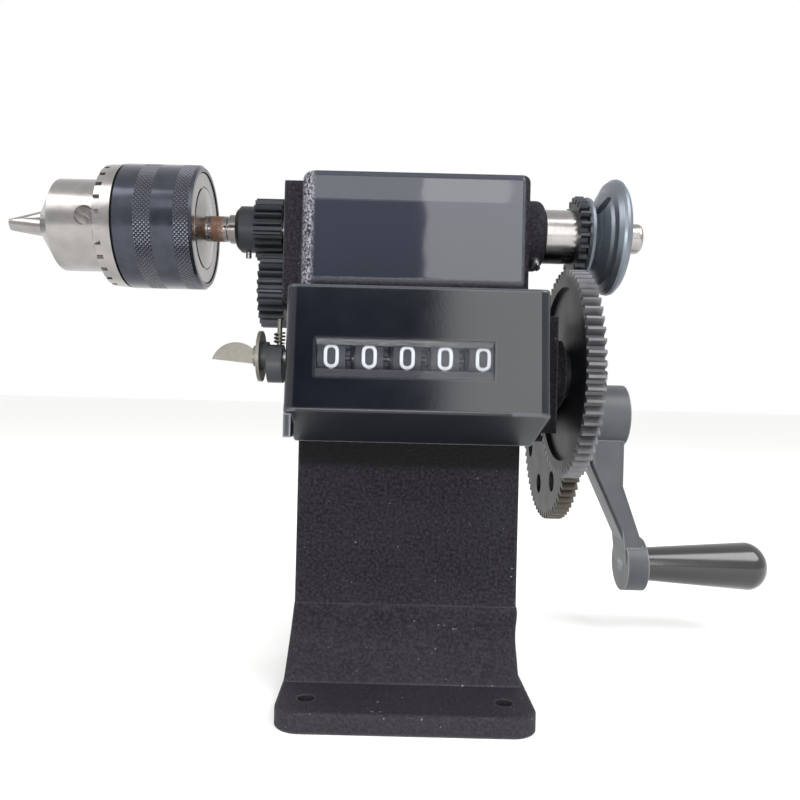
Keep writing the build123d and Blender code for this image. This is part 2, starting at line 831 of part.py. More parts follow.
intermediate_shaft_end_x = low_pinion_end_x + clip_width + 1.6
groove_depth = 0.8
with BuildPart() as intermediate_shaft:
    add(
        turned(
            [
                (intermediate_shaft_x, low_pinion_end_x + 0.1, intermediate_shaft_r),
                (low_pinion_end_x + 0.1, low_pinion_end_x + 0.1 + clip_width,
                 intermediate_shaft_r - groove_depth),
                (low_pinion_end_x + 0.1 + clip_width, intermediate_shaft_end_x,
                 intermediate_shaft_r),
            ],
            big_axis,
        )
    )
save(intermediate_shaft, "intermediate_shaft")

with BuildPart() as retaining_clip:
    with BuildSketch(across(low_pinion_end_x + 0.15, big_axis)):
        Circle(intermediate_shaft_r + 2.4)
        Circle(intermediate_shaft_r - groove_depth + seat, mode=Mode.SUBTRACT)
        with Locations((0, -intermediate_shaft_r)):
            Rectangle(3.2, 2 * intermediate_shaft_r, mode=Mode.SUBTRACT)
    extrude(amount=clip_width - 0.1)
save(retaining_clip, "retaining_clip")

crank_hub_x = crank_gear_x + crank_gear_width + 4.6
crank_end_x = crank_hub_x + crank_hub_length
crank_shaft_x = bracket_x - 3.2
with BuildPart() as crank_shaft:
    add(turned([(crank_shaft_x, crank_end_x - 1.0, crank_shaft_r)], crank_axis))
    add(turned([(crank_shaft_x, bracket_x - air, crank_shaft_r + 3)], crank_axis))
    chamfer(crank_shaft.faces().sort_by(Axis.X)[-1].edges(), length=0.8)
save(crank_shaft, "crank_shaft")

with BuildPart() as crank_gear:
    add(
        spur_gear(
            crank_gear_x,
            crank_gear_width,
            crank_axis,
            low_module,
            crank_gear_teeth,
            crank_gear_angle,
            crank_shaft_r + seat,
        )
    )
    add(
        ring(crank_gear_x + crank_gear_width, crank_hub_x - crank_gear_x - crank_gear_width,
             11.0, crank_shaft_r + seat, crank_axis)
    )
    with BuildSketch(across(crank_gear_x, crank_axis)):
        with PolarLocations(crank_gear_hole_circle_r, crank_gear_holes, start_angle=-90 + 14):
            Circle(crank_gear_hole_r)
    extrude(amount=crank_gear_width, mode=Mode.SUBTRACT)
save(crank_gear, "crank_gear")

# ---------------------------------------------------------------- crank
handle_axis = (crank_axis[0], crank_axis[1] - crank_radius)
boss_x = crank_end_x + 0.9
boss_end_x = boss_x + crank_boss_length
arm_half_width = 8.0
screw_seat_x = crank_end_x - 8.0
with BuildPart() as crank_arm:
    with BuildSketch(across(crank_hub_x, crank_axis)):
        Circle(crank_hub_r)
    extrude(amount=crank_hub_length)
    with BuildSketch(Plane(origin=(0, crank_axis[0] + arm_half_width, 0), x_dir=(1, 0, 0),
                           z_dir=(0, -1, 0))):
        with BuildLine():
            Polyline(
                (crank_hub_x + 7, crank_axis[1] - 8),
                (crank_end_x - 0.6, crank_axis[1] - 8),
                (crank_end_x - 0.6, crank_axis[1] - 30),
                (crank_end_x + crank_offset - 2.2, handle_axis[1] + 10.5),
                (boss_end_x - 2, handle_axis[1]),
                (boss_x, handle_axis[1]),
                (boss_x - 1.2, handle_axis[1] + 11),
                (crank_hub_x + 8, crank_axis[1] - 21),
                close=True,
            )
        make_face()
    extrude(amount=2 * arm_half_width)
    arm_edges = crank_arm.edges().filter_by(lambda edge: abs(edge.tangent_at(0.5).Y) < 0.01)
    arm_edges = arm_edges.filter_by_position(
        Axis.Z, handle_axis[1] + 10, crank_axis[1] - crank_hub_r - 1
    )
    fillet(arm_edges, radius=1.8)
    with BuildSketch(across(boss_x, handle_axis)):
        Circle(crank_boss_r)
    extrude(amount=crank_boss_length)
    with BuildSketch(across(crank_hub_x, crank_axis)):
        Circle(crank_shaft_r + seat)
    extrude(amount=crank_hub_length, mode=Mode.SUBTRACT)
    with BuildSketch(across(boss_x, handle_axis)):
        Circle(handle_pin_r + seat)
    extrude(amount=crank_boss_length, mode=Mode.SUBTRACT)
    with BuildSketch(Plane(origin=(screw_seat_x, crank_axis[0], crank_axis[1]))):
        Circle(set_screw_r + seat)
    extrude(amount=crank_hub_r + 1, mode=Mode.SUBTRACT)
save(crank_arm, "crank_arm")

with BuildPart() as crank_set_screw:
    with BuildSketch(
        Plane(origin=(screw_seat_x, crank_axis[0], crank_axis[1] + crank_shaft_r + 0.05))
    ):
        Circle(set_screw_r)
    extrude(amount=5.5)
    with BuildSketch(crank_set_screw.faces().sort_by(Axis.Z)[-1]):
        RegularPolygon(set_screw_r * 0.55, 6)
    extrude(amount=-1.5, mode=Mode.SUBTRACT)
save(crank_set_screw, "crank_set_screw")

handle_x = boss_end_x + air
handle_end_x = handle_x + handle_length
pin_head_depth = 3.0
with BuildPart() as handle_pin:
    add(
        turned(
            [
                (boss_x, handle_end_x - handle_pin_recess, handle_pin_r),
                (handle_end_x - handle_pin_recess, handle_end_x - handle_pin_recess + pin_head_depth, handle_pin_r + 1.4),
            ],
            handle_axis,
        )
    )
save(handle_pin, "handle_pin")

with BuildPart() as crank_handle:
    with BuildSketch(
        Plane(origin=(0, *handle_axis), x_dir=(1, 0, 0), z_dir=(0, -1, 0))
    ):
        with BuildLine():
            Line((handle_x, 0), (handle_x, handle_neck_r))
            Line((handle_x, handle_neck_r), (handle_end_x - handle_nose, handle_r))
            nose_start = (handle_end_x - handle_nose, 0)
            EllipticalCenterArc(nose_start, handle_nose, handle_r, start_angle=0, arc_size=90)
            Line((handle_end_x, 0), (handle_x, 0))
        make_face()
    revolve(axis=Axis((0, *handle_axis), (1, 0, 0)))
    with BuildSketch(across(handle_x, handle_axis)):
        Circle(handle_pin_r + running)
    extrude(amount=handle_length - handle_pin_recess, mode=Mode.SUBTRACT)
    with BuildSketch(across(handle_end_x - handle_pin_recess - 0.1, handle_axis)):
        Circle(handle_pin_r + 1.4 + running)
    extrude(amount=pin_head_depth + 0.3, mode=Mode.SUBTRACT)
save(crank_handle, "crank_handle")

# ---------------------------------------------------------------- counter drive
counter_gear_angle = meshing_angle(
    counter_gear_axis, spindle_axis, counter_pinion_teeth, 0.0, counter_gear_teeth
)
with BuildPart() as counter_gear:
    add(
        spur_gear(
            counter_gear_x,
            counter_gear_width,
            counter_gear_axis,
            counter_module,
            counter_gear_teeth,
            counter_gear_angle,
            input_shaft_r + seat,
        )
    )
save(counter_gear, "counter_gear")

with BuildPart() as counter_input_shaft:
    add(
        turned(
            [
                (counter_gear_x - 1.2, counter_gear_x - 0.05, input_shaft_r + 1.6),
                (counter_gear_x - 0.05, column_width / 2 - 2.4, input_shaft_r),
            ],
            counter_gear_axis,
        )
    )
    add(
        spur_gear(
            train_gear_x,
            train_gear_width,
            counter_gear_axis,
            train_module,
            train_pinion_teeth,
            input_pinion_angle,
            input_shaft_r - 0.5,
        )
    )
save(counter_input_shaft, "counter_input_shaft")

with BuildPart() as reduction_gear:
    add(
        spur_gear(
            train_gear_x,
            train_gear_width,
            train_axis,
            train_module,
            train_gear_teeth,
            train_gear_angle,
            train_pin_r + running,
        )
    )
    add(
        spur_gear(
            units_gear_x + 0.5,
            train_gear_x - units_gear_x - 0.5,
            train_axis,
            fine_module,
            fine_pinion_teeth,
            fine_pinion_angle,
            train_pin_r + running,
        )
    )
save(reduction_gear, "reduction_gear")

with BuildPart() as counter_idler:
    add(
        spur_gear(
            units_gear_x + 0.5,
            units_gear_width - 0.4,
            idler_axis,
            fine_module,
            idler_teeth,
            idler_angle,
            idler_pin_r + running,
        )
    )
save(counter_idler, "counter_idler")

with BuildPart() as counter_gear_pins:
    add(turned([(pocket_left_x - 4.5, pocket_right_x + 2.5, train_pin_r)], train_axis))
    add(turned([(pocket_left_x - 4.5, train_gear_x - air, idler_pin_r)], idler_axis))
save(counter_gear_pins, "counter_gear_pins")

# ---------------------------------------------------------------- counter wheels
ring_width = 1.4
segment_width = 0.8
carry_centres = ring_module * (ring_teeth + carry_teeth) / 2
carry_lean = math.radians(60.0)
carry_axis = (
    wheel_axis[0] + carry_centres * math.cos(carry_lean),
    wheel_axis[1] + carry_centres * math.sin(carry_lean),
)
carry_shaft_r = 1.25
carry_angle = 0.0
ring_angle = meshing_angle(wheel_axis, carry_axis, carry_teeth, carry_angle, ring_teeth)

for number, wheel_x in enumerate(wheel_xs):
    last = number == wheel_count - 1
    left = wheel_x - wheel_width / 2
    right = wheel_x + wheel_width / 2
    with BuildPart() as number_wheel:
        add(ring(left, wheel_width, wheel_r, wheel_shaft_r + running, wheel_axis))
        if number > 0:
            with BuildSketch(across(left - segment_width, wheel_axis)):
                Circle(wheel_r - 4)
                Circle(wheel_shaft_r + running, mode=Mode.SUBTRACT)
                with PolarLocations(wheel_r - 3, 2, start_angle=150, angular_range=18):
                    Rectangle(3.4, 1.0)
            extrude(amount=segment_width)
        if last:
            add(
                spur_gear(
                    units_gear_x,
                    units_gear_width,
                    wheel_axis,
                    fine_module,
                    units_gear_teeth,
                    units_gear_angle,
                    wheel_shaft_r + running,
                )
            )
        else:
            add(
                spur_gear(
                    right,
                    ring_width,
                    wheel_axis,
                    ring_module,
                    ring_teeth,
                    ring_angle,
                    wheel_shaft_r + running,
                )
            )
    save(number_wheel, f"number_wheel_{number + 1}")
    if not last:
        with BuildPart() as carry_pinion:
            add(
                spur_gear(
                    right + 0.25,
                    ring_width - 0.25,
                    carry_axis,
                    ring_module,
                    carry_teeth,
                    carry_angle,
                    carry_shaft_r + running,
                )
            )
        save(carry_pinion, f"carry_pinion_{number + 1}")

with BuildPart() as carry_shaft:
    add(turned([(case_left_x + 0.5, case_right_x - 0.5, carry_shaft_r)], carry_axis))
save(carry_shaft, "carry_shaft")

# ---------------------------------------------------------------- counter case
face_lean = math.atan2(case_front_top_y - case_front_low_y, case_front_top_z - case_front_low_z)
case_back_y = column_front_y - 0.1
case_corners = [
    (case_back_y, case_back_low_z),
    (case_front_low_y, case_front_low_z),
    (case_front_top_y, case_front_top_z),
    (case_back_y, case_back_top_z),
]
window_middle_x = (window_left_x + window_right_x) / 2
window_middle_z = (window_low_z + window_top_z) / 2
window_width = window_right_x - window_left_x
window_height = (window_top_z - window_low_z) / math.cos(face_lean)
window_y = case_front_low_y + (window_middle_z - case_front_low_z) * math.tan(face_lean)
window_plane = Plane(
    origin=(window_middle_x, window_y, window_middle_z),
    x_dir=(1, 0, 0),
    z_dir=(0, -math.cos(face_lean), math.sin(face_lean)),
)
with BuildPart() as counter_case:
    with BuildSketch(across(case_left_x)):
        with BuildLine():
            Polyline(*case_corners, close=True)
        make_face()
    extrude(amount=case_right_x - case_left_x)
    front = counter_case.faces().sort_by(Axis.Y)[0]
    front_sides = [edge for edge in front.edges() if abs(edge.tangent_at(0.5).X) < 0.1]
    fillet(front_sides, radius=case_edge_r)
    front = counter_case.faces().sort_by(Axis.Y)[0]
    fillet(front.edges().filter_by(Axis.X), radius=1.0)
    with BuildSketch(across(case_left_x + case_wall + 0.6)):
        with BuildLine():
            Polyline(
                (case_back_y + 1, case_back_low_z + case_wall - 0.3),
                (case_front_low_y + case_wall, case_front_low_z + case_wall),
                (case_front_top_y + case_wall, case_front_top_z - case_wall),
                (case_back_y + 1, case_back_top_z - case_wall),
                close=True,
            )
        make_face()
    extrude(amount=case_right_x - case_left_x - 2 * case_wall - 1.2, mode=Mode.SUBTRACT)
    # foot below the left end
    with BuildSketch(across(case_left_x)):
        with Locations((case_foot_y, (case_foot_low_z + case_front_low_z) / 2 + 1)):
            Rectangle(case_foot_depth, case_front_low_z - case_foot_low_z + 2)
    extrude(amount=case_foot_width)
    with BuildSketch(window_plane.offset(1)):
        Rectangle(window_width, window_height)
    extrude(amount=-1 - 2 * case_wall, mode=Mode.SUBTRACT)
    with BuildSketch(across(case_left_x - 1, wheel_axis)):
        Circle(wheel_shaft_r + running)
    extrude(amount=case_right_x - case_left_x + 2, mode=Mode.SUBTRACT)
    with BuildSketch(across(case_left_x + 0.4, carry_axis)):
        Circle(carry_shaft_r + seat)
    extrude(amount=case_right_x - case_left_x - 0.8, mode=Mode.SUBTRACT)
save(counter_case, "counter_case")

with BuildPart() as counter_window:
    with BuildSketch(window_plane.offset(-pane_inset)):
        Rectangle(window_width - 0.1, window_height - 0.1)
    extrude(amount=-pane_thickness)
save(counter_window, "counter_window")

# ---------------------------------------------------------------- reset key
reset_hub_x = case_left_x - 2.0 - reset_hub_length
washer_x = reset_hub_x - 2.9
wing_x = washer_x - 1.6
pin_x = reset_hub_x + reset_hub_length - 1.4
with BuildPart() as wheel_shaft:
    add(turned([(wing_x, case_right_x + 0.6, wheel_shaft_r)], wheel_axis))
    with BuildSketch(Plane.XY.offset(wheel_axis[1] + 12)):
        with Locations((pin_x, wheel_axis[0])):
            Circle(reset_pin_r + seat)
    extrude(amount=-18, mode=Mode.SUBTRACT)
save(wheel_shaft, "wheel_shaft")

with BuildPart() as reset_wing:
    add(ring(wing_x, washer_x - wing_x, 3.2, wheel_shaft_r + seat, wheel_axis))
    with BuildSketch(Plane(origin=(0, wheel_axis[0] + wing_thickness / 2, 0), x_dir=(1, 0, 0),
                           z_dir=(0, -1, 0))):
        with BuildLine():
            wing_low = wheel_axis[1] - 2.4
            Line((wing_x, wing_low), (wing_x - wing_length, wing_low + 1.2))
            ThreePointArc(
                (wing_x - wing_length, wing_low + 1.2),
                (wing_x - wing_length * 0.55, wing_low + wing_r),
                (wing_x, wing_low + 4.2),
            )
            Line((wing_x, wing_low + 4.2), (wing_x, wing_low))
        make_face()
    extrude(amount=wing_thickness)
save(reset_wing, "reset_wing")

with BuildPart() as reset_washer:
    add(ring(washer_x, 1.0, reset_washer_r, wheel_shaft_r + seat, wheel_axis))
save(reset_washer, "reset_washer")

with BuildPart() as reset_hub:
    with BuildSketch(across(reset_hub_x, wheel_axis)):
        with Locations((0, -reset_hub_drop)):
            Circle(reset_hub_r)
        Circle(wheel_shaft_r + seat, mode=Mode.SUBTRACT)
    extrude(amount=reset_hub_length)
    add(ring(washer_x + 1.0, reset_hub_x - washer_x - 1.0, reset_hub_r - 1.4,
             wheel_shaft_r + seat, wheel_axis))
    with BuildSketch(Plane.XY.offset(wheel_axis[1] + 12)):
        with Locations((pin_x, wheel_axis[0])):
            Circle(reset_pin_r + seat)
    extrude(amount=-18, mode=Mode.SUBTRACT)
save(reset_hub, "reset_hub")

with BuildPart() as reset_pin:
    with BuildSketch(Plane.XY.offset(wheel_axis[1] + 11.6)):
        with Locations((pin_x, wheel_axis[0])):
            Circle(reset_pin_r)
    extrude(amount=-16.5)
save(reset_pin, "reset_pin")

spring_wire_r = 0.3
spring_r = 1.5
spring_pitch = 1.1
spring_turns = 3
with BuildPart() as reset_spring:
    with BuildLine() as spring_line:
        Helix(
            pitch=spring_pitch,
            height=spring_pitch * spring_turns,
            radius=spring_r,
            center=(
                pin_x,
                wheel_axis[0],
                wheel_axis[1] + reset_hub_r - reset_hub_drop + spring_wire_r + 0.1,
            ),
        )
    with BuildSketch(Plane(origin=spring_line.line @ 0, z_dir=spring_line.line % 0)):
        Circle(spring_wire_r)
    sweep(is_frenet=True)
save(reset_spring, "reset_spring")
print("spring gap between turns", spring_pitch - 2 * spring_wire_r)
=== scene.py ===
# %% [markdown]
# # A hand-cranked coil winder
# This notebook dresses a coil winder: a cast stand, a spindle with a keyed drill
# chuck, a train of gears turned by a crank, and a five-wheel turns counter. The
# model's frame holds every piece at its real size. The cells below give each piece
# the finish of the real one, with the knurled bands of the chuck as relief, and add
# what is modelled by hand: the numerals on the counter wheels and the lips of the
# counter's window.

# %% Start and load the frame
import math

import bpy
from mathutils import Matrix, Vector


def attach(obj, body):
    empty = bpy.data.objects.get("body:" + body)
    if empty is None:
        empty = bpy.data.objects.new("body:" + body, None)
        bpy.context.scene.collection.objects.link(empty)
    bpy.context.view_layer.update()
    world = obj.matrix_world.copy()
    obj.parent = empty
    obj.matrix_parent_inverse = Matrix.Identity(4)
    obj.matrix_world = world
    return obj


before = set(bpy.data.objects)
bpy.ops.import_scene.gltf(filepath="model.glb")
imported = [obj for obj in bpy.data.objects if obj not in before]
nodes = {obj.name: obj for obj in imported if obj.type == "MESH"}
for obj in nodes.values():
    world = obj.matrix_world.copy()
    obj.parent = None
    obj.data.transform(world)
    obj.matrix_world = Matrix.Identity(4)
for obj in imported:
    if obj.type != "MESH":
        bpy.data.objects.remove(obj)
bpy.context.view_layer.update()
MM = 0.001
print("pieces in the frame:", len(nodes))

# %% [markdown]
# ## Camera
# The photograph was taken from close by, level with the crank, so the sides of the
# stand open outwards and both ends of the spindle show their inner faces. A lens of
# 32.4 mm on a 36 mm sensor gives that strong perspective. The machine also leans a
# little, which is a small roll of the camera.

# %% Camera at the photograph's place
CAMERA_PLACE = Vector((-8.0, -270.0, 98.0)) * MM
CAMERA_ROLL = math.radians(-1.4)
LENS_MM = 32.4
SENSOR_MM = 36.0
FRAME_PIXELS = 800
AXIS_PIXELS_LEFT = 14

bpy.ops.object.camera_add(location=CAMERA_PLACE)
camera = bpy.context.object
camera.name = "camera"
camera.rotation_euler = (math.pi / 2, CAMERA_ROLL, 0)
camera.data.lens = LENS_MM
camera.data.sensor_width = SENSOR_MM
camera.data.shift_x = AXIS_PIXELS_LEFT / FRAME_PIXELS
camera.data.clip_start = 0.01
bpy.context.scene.camera = camera
print("camera at", tuple(round(v, 3) for v in CAMERA_PLACE))

# %% [markdown]
# ## Helpers for colours and nodes
# Every finish below is a small network of shader nodes. One helper turns the sRGB
# hex codes, which are easy to read, into the linear colours that Blender works in.
# Another adds a node with its settings and links. A third starts a new material
# with a Principled shader, and hands back the piece's own coordinates in metres, so
# that each pattern can be given its real size.

# %% Colour and node helpers
def srgb(code):
    """Linear colour of an sRGB hex value."""
    parts = [int(code[i : i + 2], 16) / 255 for i in (1, 3, 5)]
    linear = [p / 12.92 if p <= 0.04045 else ((p + 0.055) / 1.055) ** 2.4 for p in parts]
    return (*linear, 1.0)


def add_node(tree, kind, inputs=None, **settings):
    """Adds a node, sets its settings, and fills its inputs with values or links."""
    made = tree.nodes.new(kind)
    for name, value in settings.items():
        setattr(made, name, value)
    for socket, source in (inputs or {}).items():
        if isinstance(source, bpy.types.NodeSocket):
            tree.links.new(source, made.inputs[socket])
        else:
            made.inputs[socket].default_value = source
    return made


def new_material(name, **values):
    """A material with a Principled shader, its tree, the shader and the piece's coordinates."""
    made = bpy.data.materials.new(name)
    made.use_nodes = True
    tree = made.node_tree
    tree.nodes.clear()
    shader = add_node(tree, "ShaderNodeBsdfPrincipled")
    add_node(tree, "ShaderNodeOutputMaterial", {"Surface": shader.outputs[0]})
    for socket, value in values.items():
        shader.inputs[socket.replace("_", " ")].default_value = value
    point = add_node(tree, "ShaderNodeTexCoord").outputs["Object"]
    return made, tree, shader, point


def per_mm(size):
    """Pattern scale, in repeats per metre, of a pattern whose size is given in millimetres."""
    return 1.0 / (size * MM)


# %% Give a finish to pieces
def finish_pieces(material, *names):
    """The named pieces of the frame get this material."""
    for name in names:
        for material_slot in nodes[name].material_slots:
            material_slot.material = material
    print(material.name, "on", len(names), "pieces")


# %% [markdown]
# ## Floor, room and lights
# The object stands on a pale floor in a white room. Black gloss paint shows almost
# nothing but reflections, so cards do most of the work, as they do in a studio. A
# dark card in front keeps the left of the head and of the counter black. A bright
# card beside it draws the sharp-edged lighter area on their right, and one above
# lifts their upper edges. Two soft lights round the chuck and the crank, and a low
# front light reaches the numerals in their window. The Standard view keeps the
# blacks as deep as they are in the photograph.

# %% Floor
FLOOR_SIZE = 30.0
bpy.ops.object.select_all(action="DESELECT")
bpy.ops.mesh.primitive_plane_add(size=FLOOR_SIZE, location=(0, 0, -0.0002))
floor = bpy.context.object
floor.name = "floor"
floor_paper, tree, shader, point = new_material("matte pale paper", Roughness=0.9)
paper_tone = add_node(tree, "ShaderNodeTexNoise", {"Vector": point, "Scale": per_mm(3)})
paper_colour = add_node(
    tree,
    "ShaderNodeMix",
    {0: paper_tone.outputs[0], 6: srgb("#f5f5f4"), 7: srgb("#f9f9f8")},
    data_type="RGBA",
)
tree.links.new(paper_colour.outputs[2], shader.inputs["Base Color"])
floor.data.materials.append(floor_paper)

# %% Room light
bpy.context.scene.view_settings.view_transform = "Standard"
world = bpy.data.worlds.new("white room")
bpy.context.scene.world = world
world.use_nodes = True
background = world.node_tree.nodes["Background"]
background.inputs["Color"].default_value = srgb("#ffffff")
background.inputs["Strength"].default_value = 1.0

# %% Dark card in front
DARK_CARD_PLACE = (-0.18, -1.0, 0.27)
DARK_CARD_SIZE = (0.46, 0.54)
bpy.ops.object.select_all(action="DESELECT")
bpy.ops.mesh.primitive_plane_add(size=1.0, location=DARK_CARD_PLACE, rotation=(math.pi / 2, 0, 0))
dark_card = bpy.context.object
dark_card.name = "dark card"
dark_card.scale = (*DARK_CARD_SIZE, 1.0)
dark_card.visible_camera = False
dark_card.visible_shadow = False
dark_card.visible_diffuse = False
black_felt, tree, shader, point = new_material("black felt", Roughness=1.0, Specular_IOR_Level=0.0)
felt_tone = add_node(tree, "ShaderNodeTexNoise", {"Vector": point, "Scale": per_mm(4)})
felt_colour = add_node(
    tree,
    "ShaderNodeMix",
    {0: felt_tone.outputs[0], 6: srgb("#0b0c0f"), 7: srgb("#14151a")},
    data_type="RGBA",
)
tree.links.new(felt_colour.outputs[2], shader.inputs["Base Color"])
dark_card.data.materials.append(black_felt)

# %% Bright cards and soft lights
SOFT_LIGHTS = [
    # name, place in metres, where it points, width, height, watts
    ("right card", (0.199, -1.0, 0.45), (0.199, -0.03, 0.45), 0.30, 0.66, 2.3),
    ("upper card", (-0.10, -0.95, 0.70), (0.0, -0.03, 0.15), 0.62, 0.28, 1.2),
    ("left soft light", (-0.60, -0.45, 0.70), (-0.05, 0.0, 0.13), 0.5, 0.5, 3.4),
    ("right soft light", (0.55, -0.38, 0.73), (0.13, -0.02, 0.03), 0.6, 0.6, 6.2),
    ("low front light", (-0.05, -0.80, 0.05), (0.0, -0.06, 0.11), 0.3, 0.1, 2.5),
]
for light_name, place, target, width, height, watts in SOFT_LIGHTS:
    bpy.ops.object.light_add(type="AREA", location=place)
    lamp = bpy.context.object
    lamp.name = light_name
    lamp.data.shape = "RECTANGLE"
    lamp.data.size = width
    lamp.data.size_y = height
    lamp.data.energy = watts
    lamp.rotation_euler = (Vector(target) - Vector(place)).to_track_quat("-Z", "Y").to_euler()
print("lights:", len(SOFT_LIGHTS))

# %% [markdown]
# ## Black paint on the iron casting
# The stand is one iron casting. Its base and column are brushed with thick black
# paint that follows the rough skin of the sand mould, with pinholes and small
# chips. The front of the head was filed flat first, so there the same paint is
# smooth and mirrors the room. One material does both: a mask made from the piece's
# own coordinates fades the grain out and the gloss in on that face. Real grain of
# this kind is a millimetre or two across, so the noise gets that size.

# %% Where the head is smooth
SPINDLE_Y = -11.0 * MM
SPINDLE_Z = 158.0 * MM
cast_paint, tree, shader, point = new_material(
    "brushed black paint on cast iron", IOR=1.5
)
place = add_node(tree, "ShaderNodeSeparateXYZ", {0: point})
HEAD_EDGES = [
    # coordinate, where it is rough, where it is smooth, in millimetres
    ("X", -35.4, -33.8),
    ("X", 37.6, 36.6),
    ("Y", -27.0, -28.6),
    ("Z", 136.5, 139.5),
]


def zone(tree, place, edges, blend="LINEAR"):
    """A mask that rises from 0 to 1 across every edge: coordinate, outside, inside."""
    mask = 1.0
    for axis, outside, inside in edges:
        step = add_node(
            tree,
            "ShaderNodeMapRange",
            {"Value": place.outputs[axis], "From Min": outside * MM, "From Max": inside * MM},
            interpolation_type=blend,
        ).outputs[0]
        mask = add_node(tree, "ShaderNodeMath", {0: mask, 1: step}, operation="MULTIPLY").outputs[0]
    return mask


smooth_head = zone(tree, place, HEAD_EDGES, "SMOOTHSTEP")

# %% Grain, pinholes and chips of the casting paint
grain = add_node(
    tree,
    "ShaderNodeTexNoise",
    {"Vector": point, "Scale": per_mm(1.0), "Detail": 4.0, "Roughness": 0.6},
).outputs[0]
patches = add_node(
    tree, "ShaderNodeTexNoise", {"Vector": point, "Scale": per_mm(14), "Detail": 2.0}
).outputs[0]
chip_field = add_node(
    tree, "ShaderNodeTexNoise", {"Vector": point, "Scale": per_mm(1.1), "Detail": 1.0}
).outputs[0]
chips = add_node(
    tree, "ShaderNodeMapRange", {"Value": chip_field, "From Min": 0.75, "From Max": 0.775}
).outputs[0]
chip_zones = add_node(
    tree, "ShaderNodeMapRange", {"Value": patches, "From Min": 0.48, "From Max": 0.62}
).outputs[0]
chips = add_node(tree, "ShaderNodeMath", {0: chips, 1: chip_zones}, operation="MULTIPLY").outputs[0]
rough_share = add_node(
    tree, "ShaderNodeMath", {0: 1.0, 1: smooth_head}, operation="SUBTRACT"
).outputs[0]
chip_share = add_node(
    tree, "ShaderNodeMapRange", {"Value": rough_share, "To Min": 0.0, "To Max": 1.0}
).outputs[0]
chips = add_node(tree, "ShaderNodeMath", {0: chips, 1: chip_share}, operation="MULTIPLY").outputs[0]

# %% Pale edges of the casting paint: worn paint and painted highlight
def worn_edges(tree, radius, flat, sharp):
    """A mask of the edges: there, a normal rounded over the radius leaves the true one."""
    rounded = add_node(tree, "ShaderNodeBevel", {"Radius": radius * MM}, samples=4).outputs[0]
    true_normal = add_node(tree, "ShaderNodeNewGeometry").outputs["Normal"]
    agreement = add_node(
        tree, "ShaderNodeVectorMath", {0: rounded, 1: true_normal}, operation="DOT_PRODUCT"
    ).outputs["Value"]
    return add_node(
        tree, "ShaderNodeMapRange", {"Value": agreement, "From Min": flat, "From Max": sharp}
    ).outputs[0]


edge_wear_and_highlight = worn_edges(tree, 0.9, flat=0.985, sharp=0.90)
edge_wear_and_highlight = add_node(
    tree, "ShaderNodeMath", {0: edge_wear_and_highlight, 1: patches}, operation="MULTIPLY"
).outputs[0]

# %% Painted highlight on the head's rounded front corner
HIGHLIT_CORNER = [
    # coordinate, where the plain paint stays, where the painted highlight is full, in millimetres
    ("X", -33.2, -35.0),
    ("Y", -25.1, -25.8),
    ("Z", 135.0, 138.0),
]
corner_speckle = add_node(
    tree, "ShaderNodeTexNoise", {"Vector": point, "Scale": per_mm(0.8), "Detail": 3.0}
).outputs[0]
painted_corner_highlight = add_node(
    tree, "ShaderNodeMapRange", {"Value": corner_speckle, "From Min": 0.40, "From Max": 0.62}
).outputs[0]
highlit_corner_zone = zone(tree, place, HIGHLIT_CORNER)
painted_corner_highlight = add_node(tree, "ShaderNodeMath", {0: painted_corner_highlight, 1: highlit_corner_zone}, operation="MULTIPLY").outputs[0]

# %% Colour, gloss and relief of the casting paint
grain_light = add_node(
    tree, "ShaderNodeMapRange", {"Value": grain, "From Min": 0.38, "From Max": 0.66}
).outputs[0]
paint_colour = add_node(
    tree,
    "ShaderNodeMix",
    {0: grain_light, 6: srgb("#060508"), 7: srgb("#27242c")},
    data_type="RGBA",
).outputs[2]
paint_colour = add_node(
    tree, "ShaderNodeMix", {0: smooth_head, 6: paint_colour, 7: srgb("#2b2e37")}, data_type="RGBA"
).outputs[2]
# pale edges: partly worn paint, partly a painted highlight where the light catches the edges of the
# casting
paint_colour = add_node(
    tree, "ShaderNodeMix", {0: edge_wear_and_highlight, 6: paint_colour, 7: srgb("#5a5658")}, data_type="RGBA"
).outputs[2]
# painted highlight: the rounded front corner of the head is drawn pale grey and speckled where the
# light from the left catches it
paint_colour = add_node(
    tree, "ShaderNodeMix", {0: painted_corner_highlight, 6: paint_colour, 7: srgb("#8b8b92")}, data_type="RGBA"
).outputs[2]
paint_colour = add_node(
    tree, "ShaderNodeMix", {0: chips, 6: paint_colour, 7: srgb("#a39c98")}, data_type="RGBA"
).outputs[2]
# painted shade: a dark band with a straight lower edge runs across the column under the counter,
# where the counter's shadow falls
SHADE_BAND = [
    # coordinate, where the band is gone, where it is full, in millimetres
    ("Z", 75.2, 77.2),
    ("Z", 94.0, 88.0),
    ("Y", -19.0, -24.0),
]
SHADE_BAND_SHARE = 0.85
painted_shade_band = zone(tree, place, SHADE_BAND)
painted_shade_band = add_node(
    tree, "ShaderNodeMath", {0: painted_shade_band, 1: SHADE_BAND_SHARE}, operation="MULTIPLY"
).outputs[0]
mottled = add_node(
    tree,
    "ShaderNodeMapRange",
    {"Value": patches, "From Min": 0.42, "From Max": 0.66, "To Max": 0.12},
).outputs[0]
mottled = add_node(
    tree, "ShaderNodeMath", {0: mottled, 1: rough_share}, operation="MULTIPLY"
).outputs[0]
paint_colour = add_node(
    tree, "ShaderNodeMix", {0: mottled, 6: paint_colour, 7: srgb("#2c2b33")}, data_type="RGBA"
).outputs[2]
# painted shade under the counter
paint_colour = add_node(
    tree, "ShaderNodeMix", {0: painted_shade_band, 6: paint_colour, 7: srgb("#050506")}, data_type="RGBA"
).outputs[2]
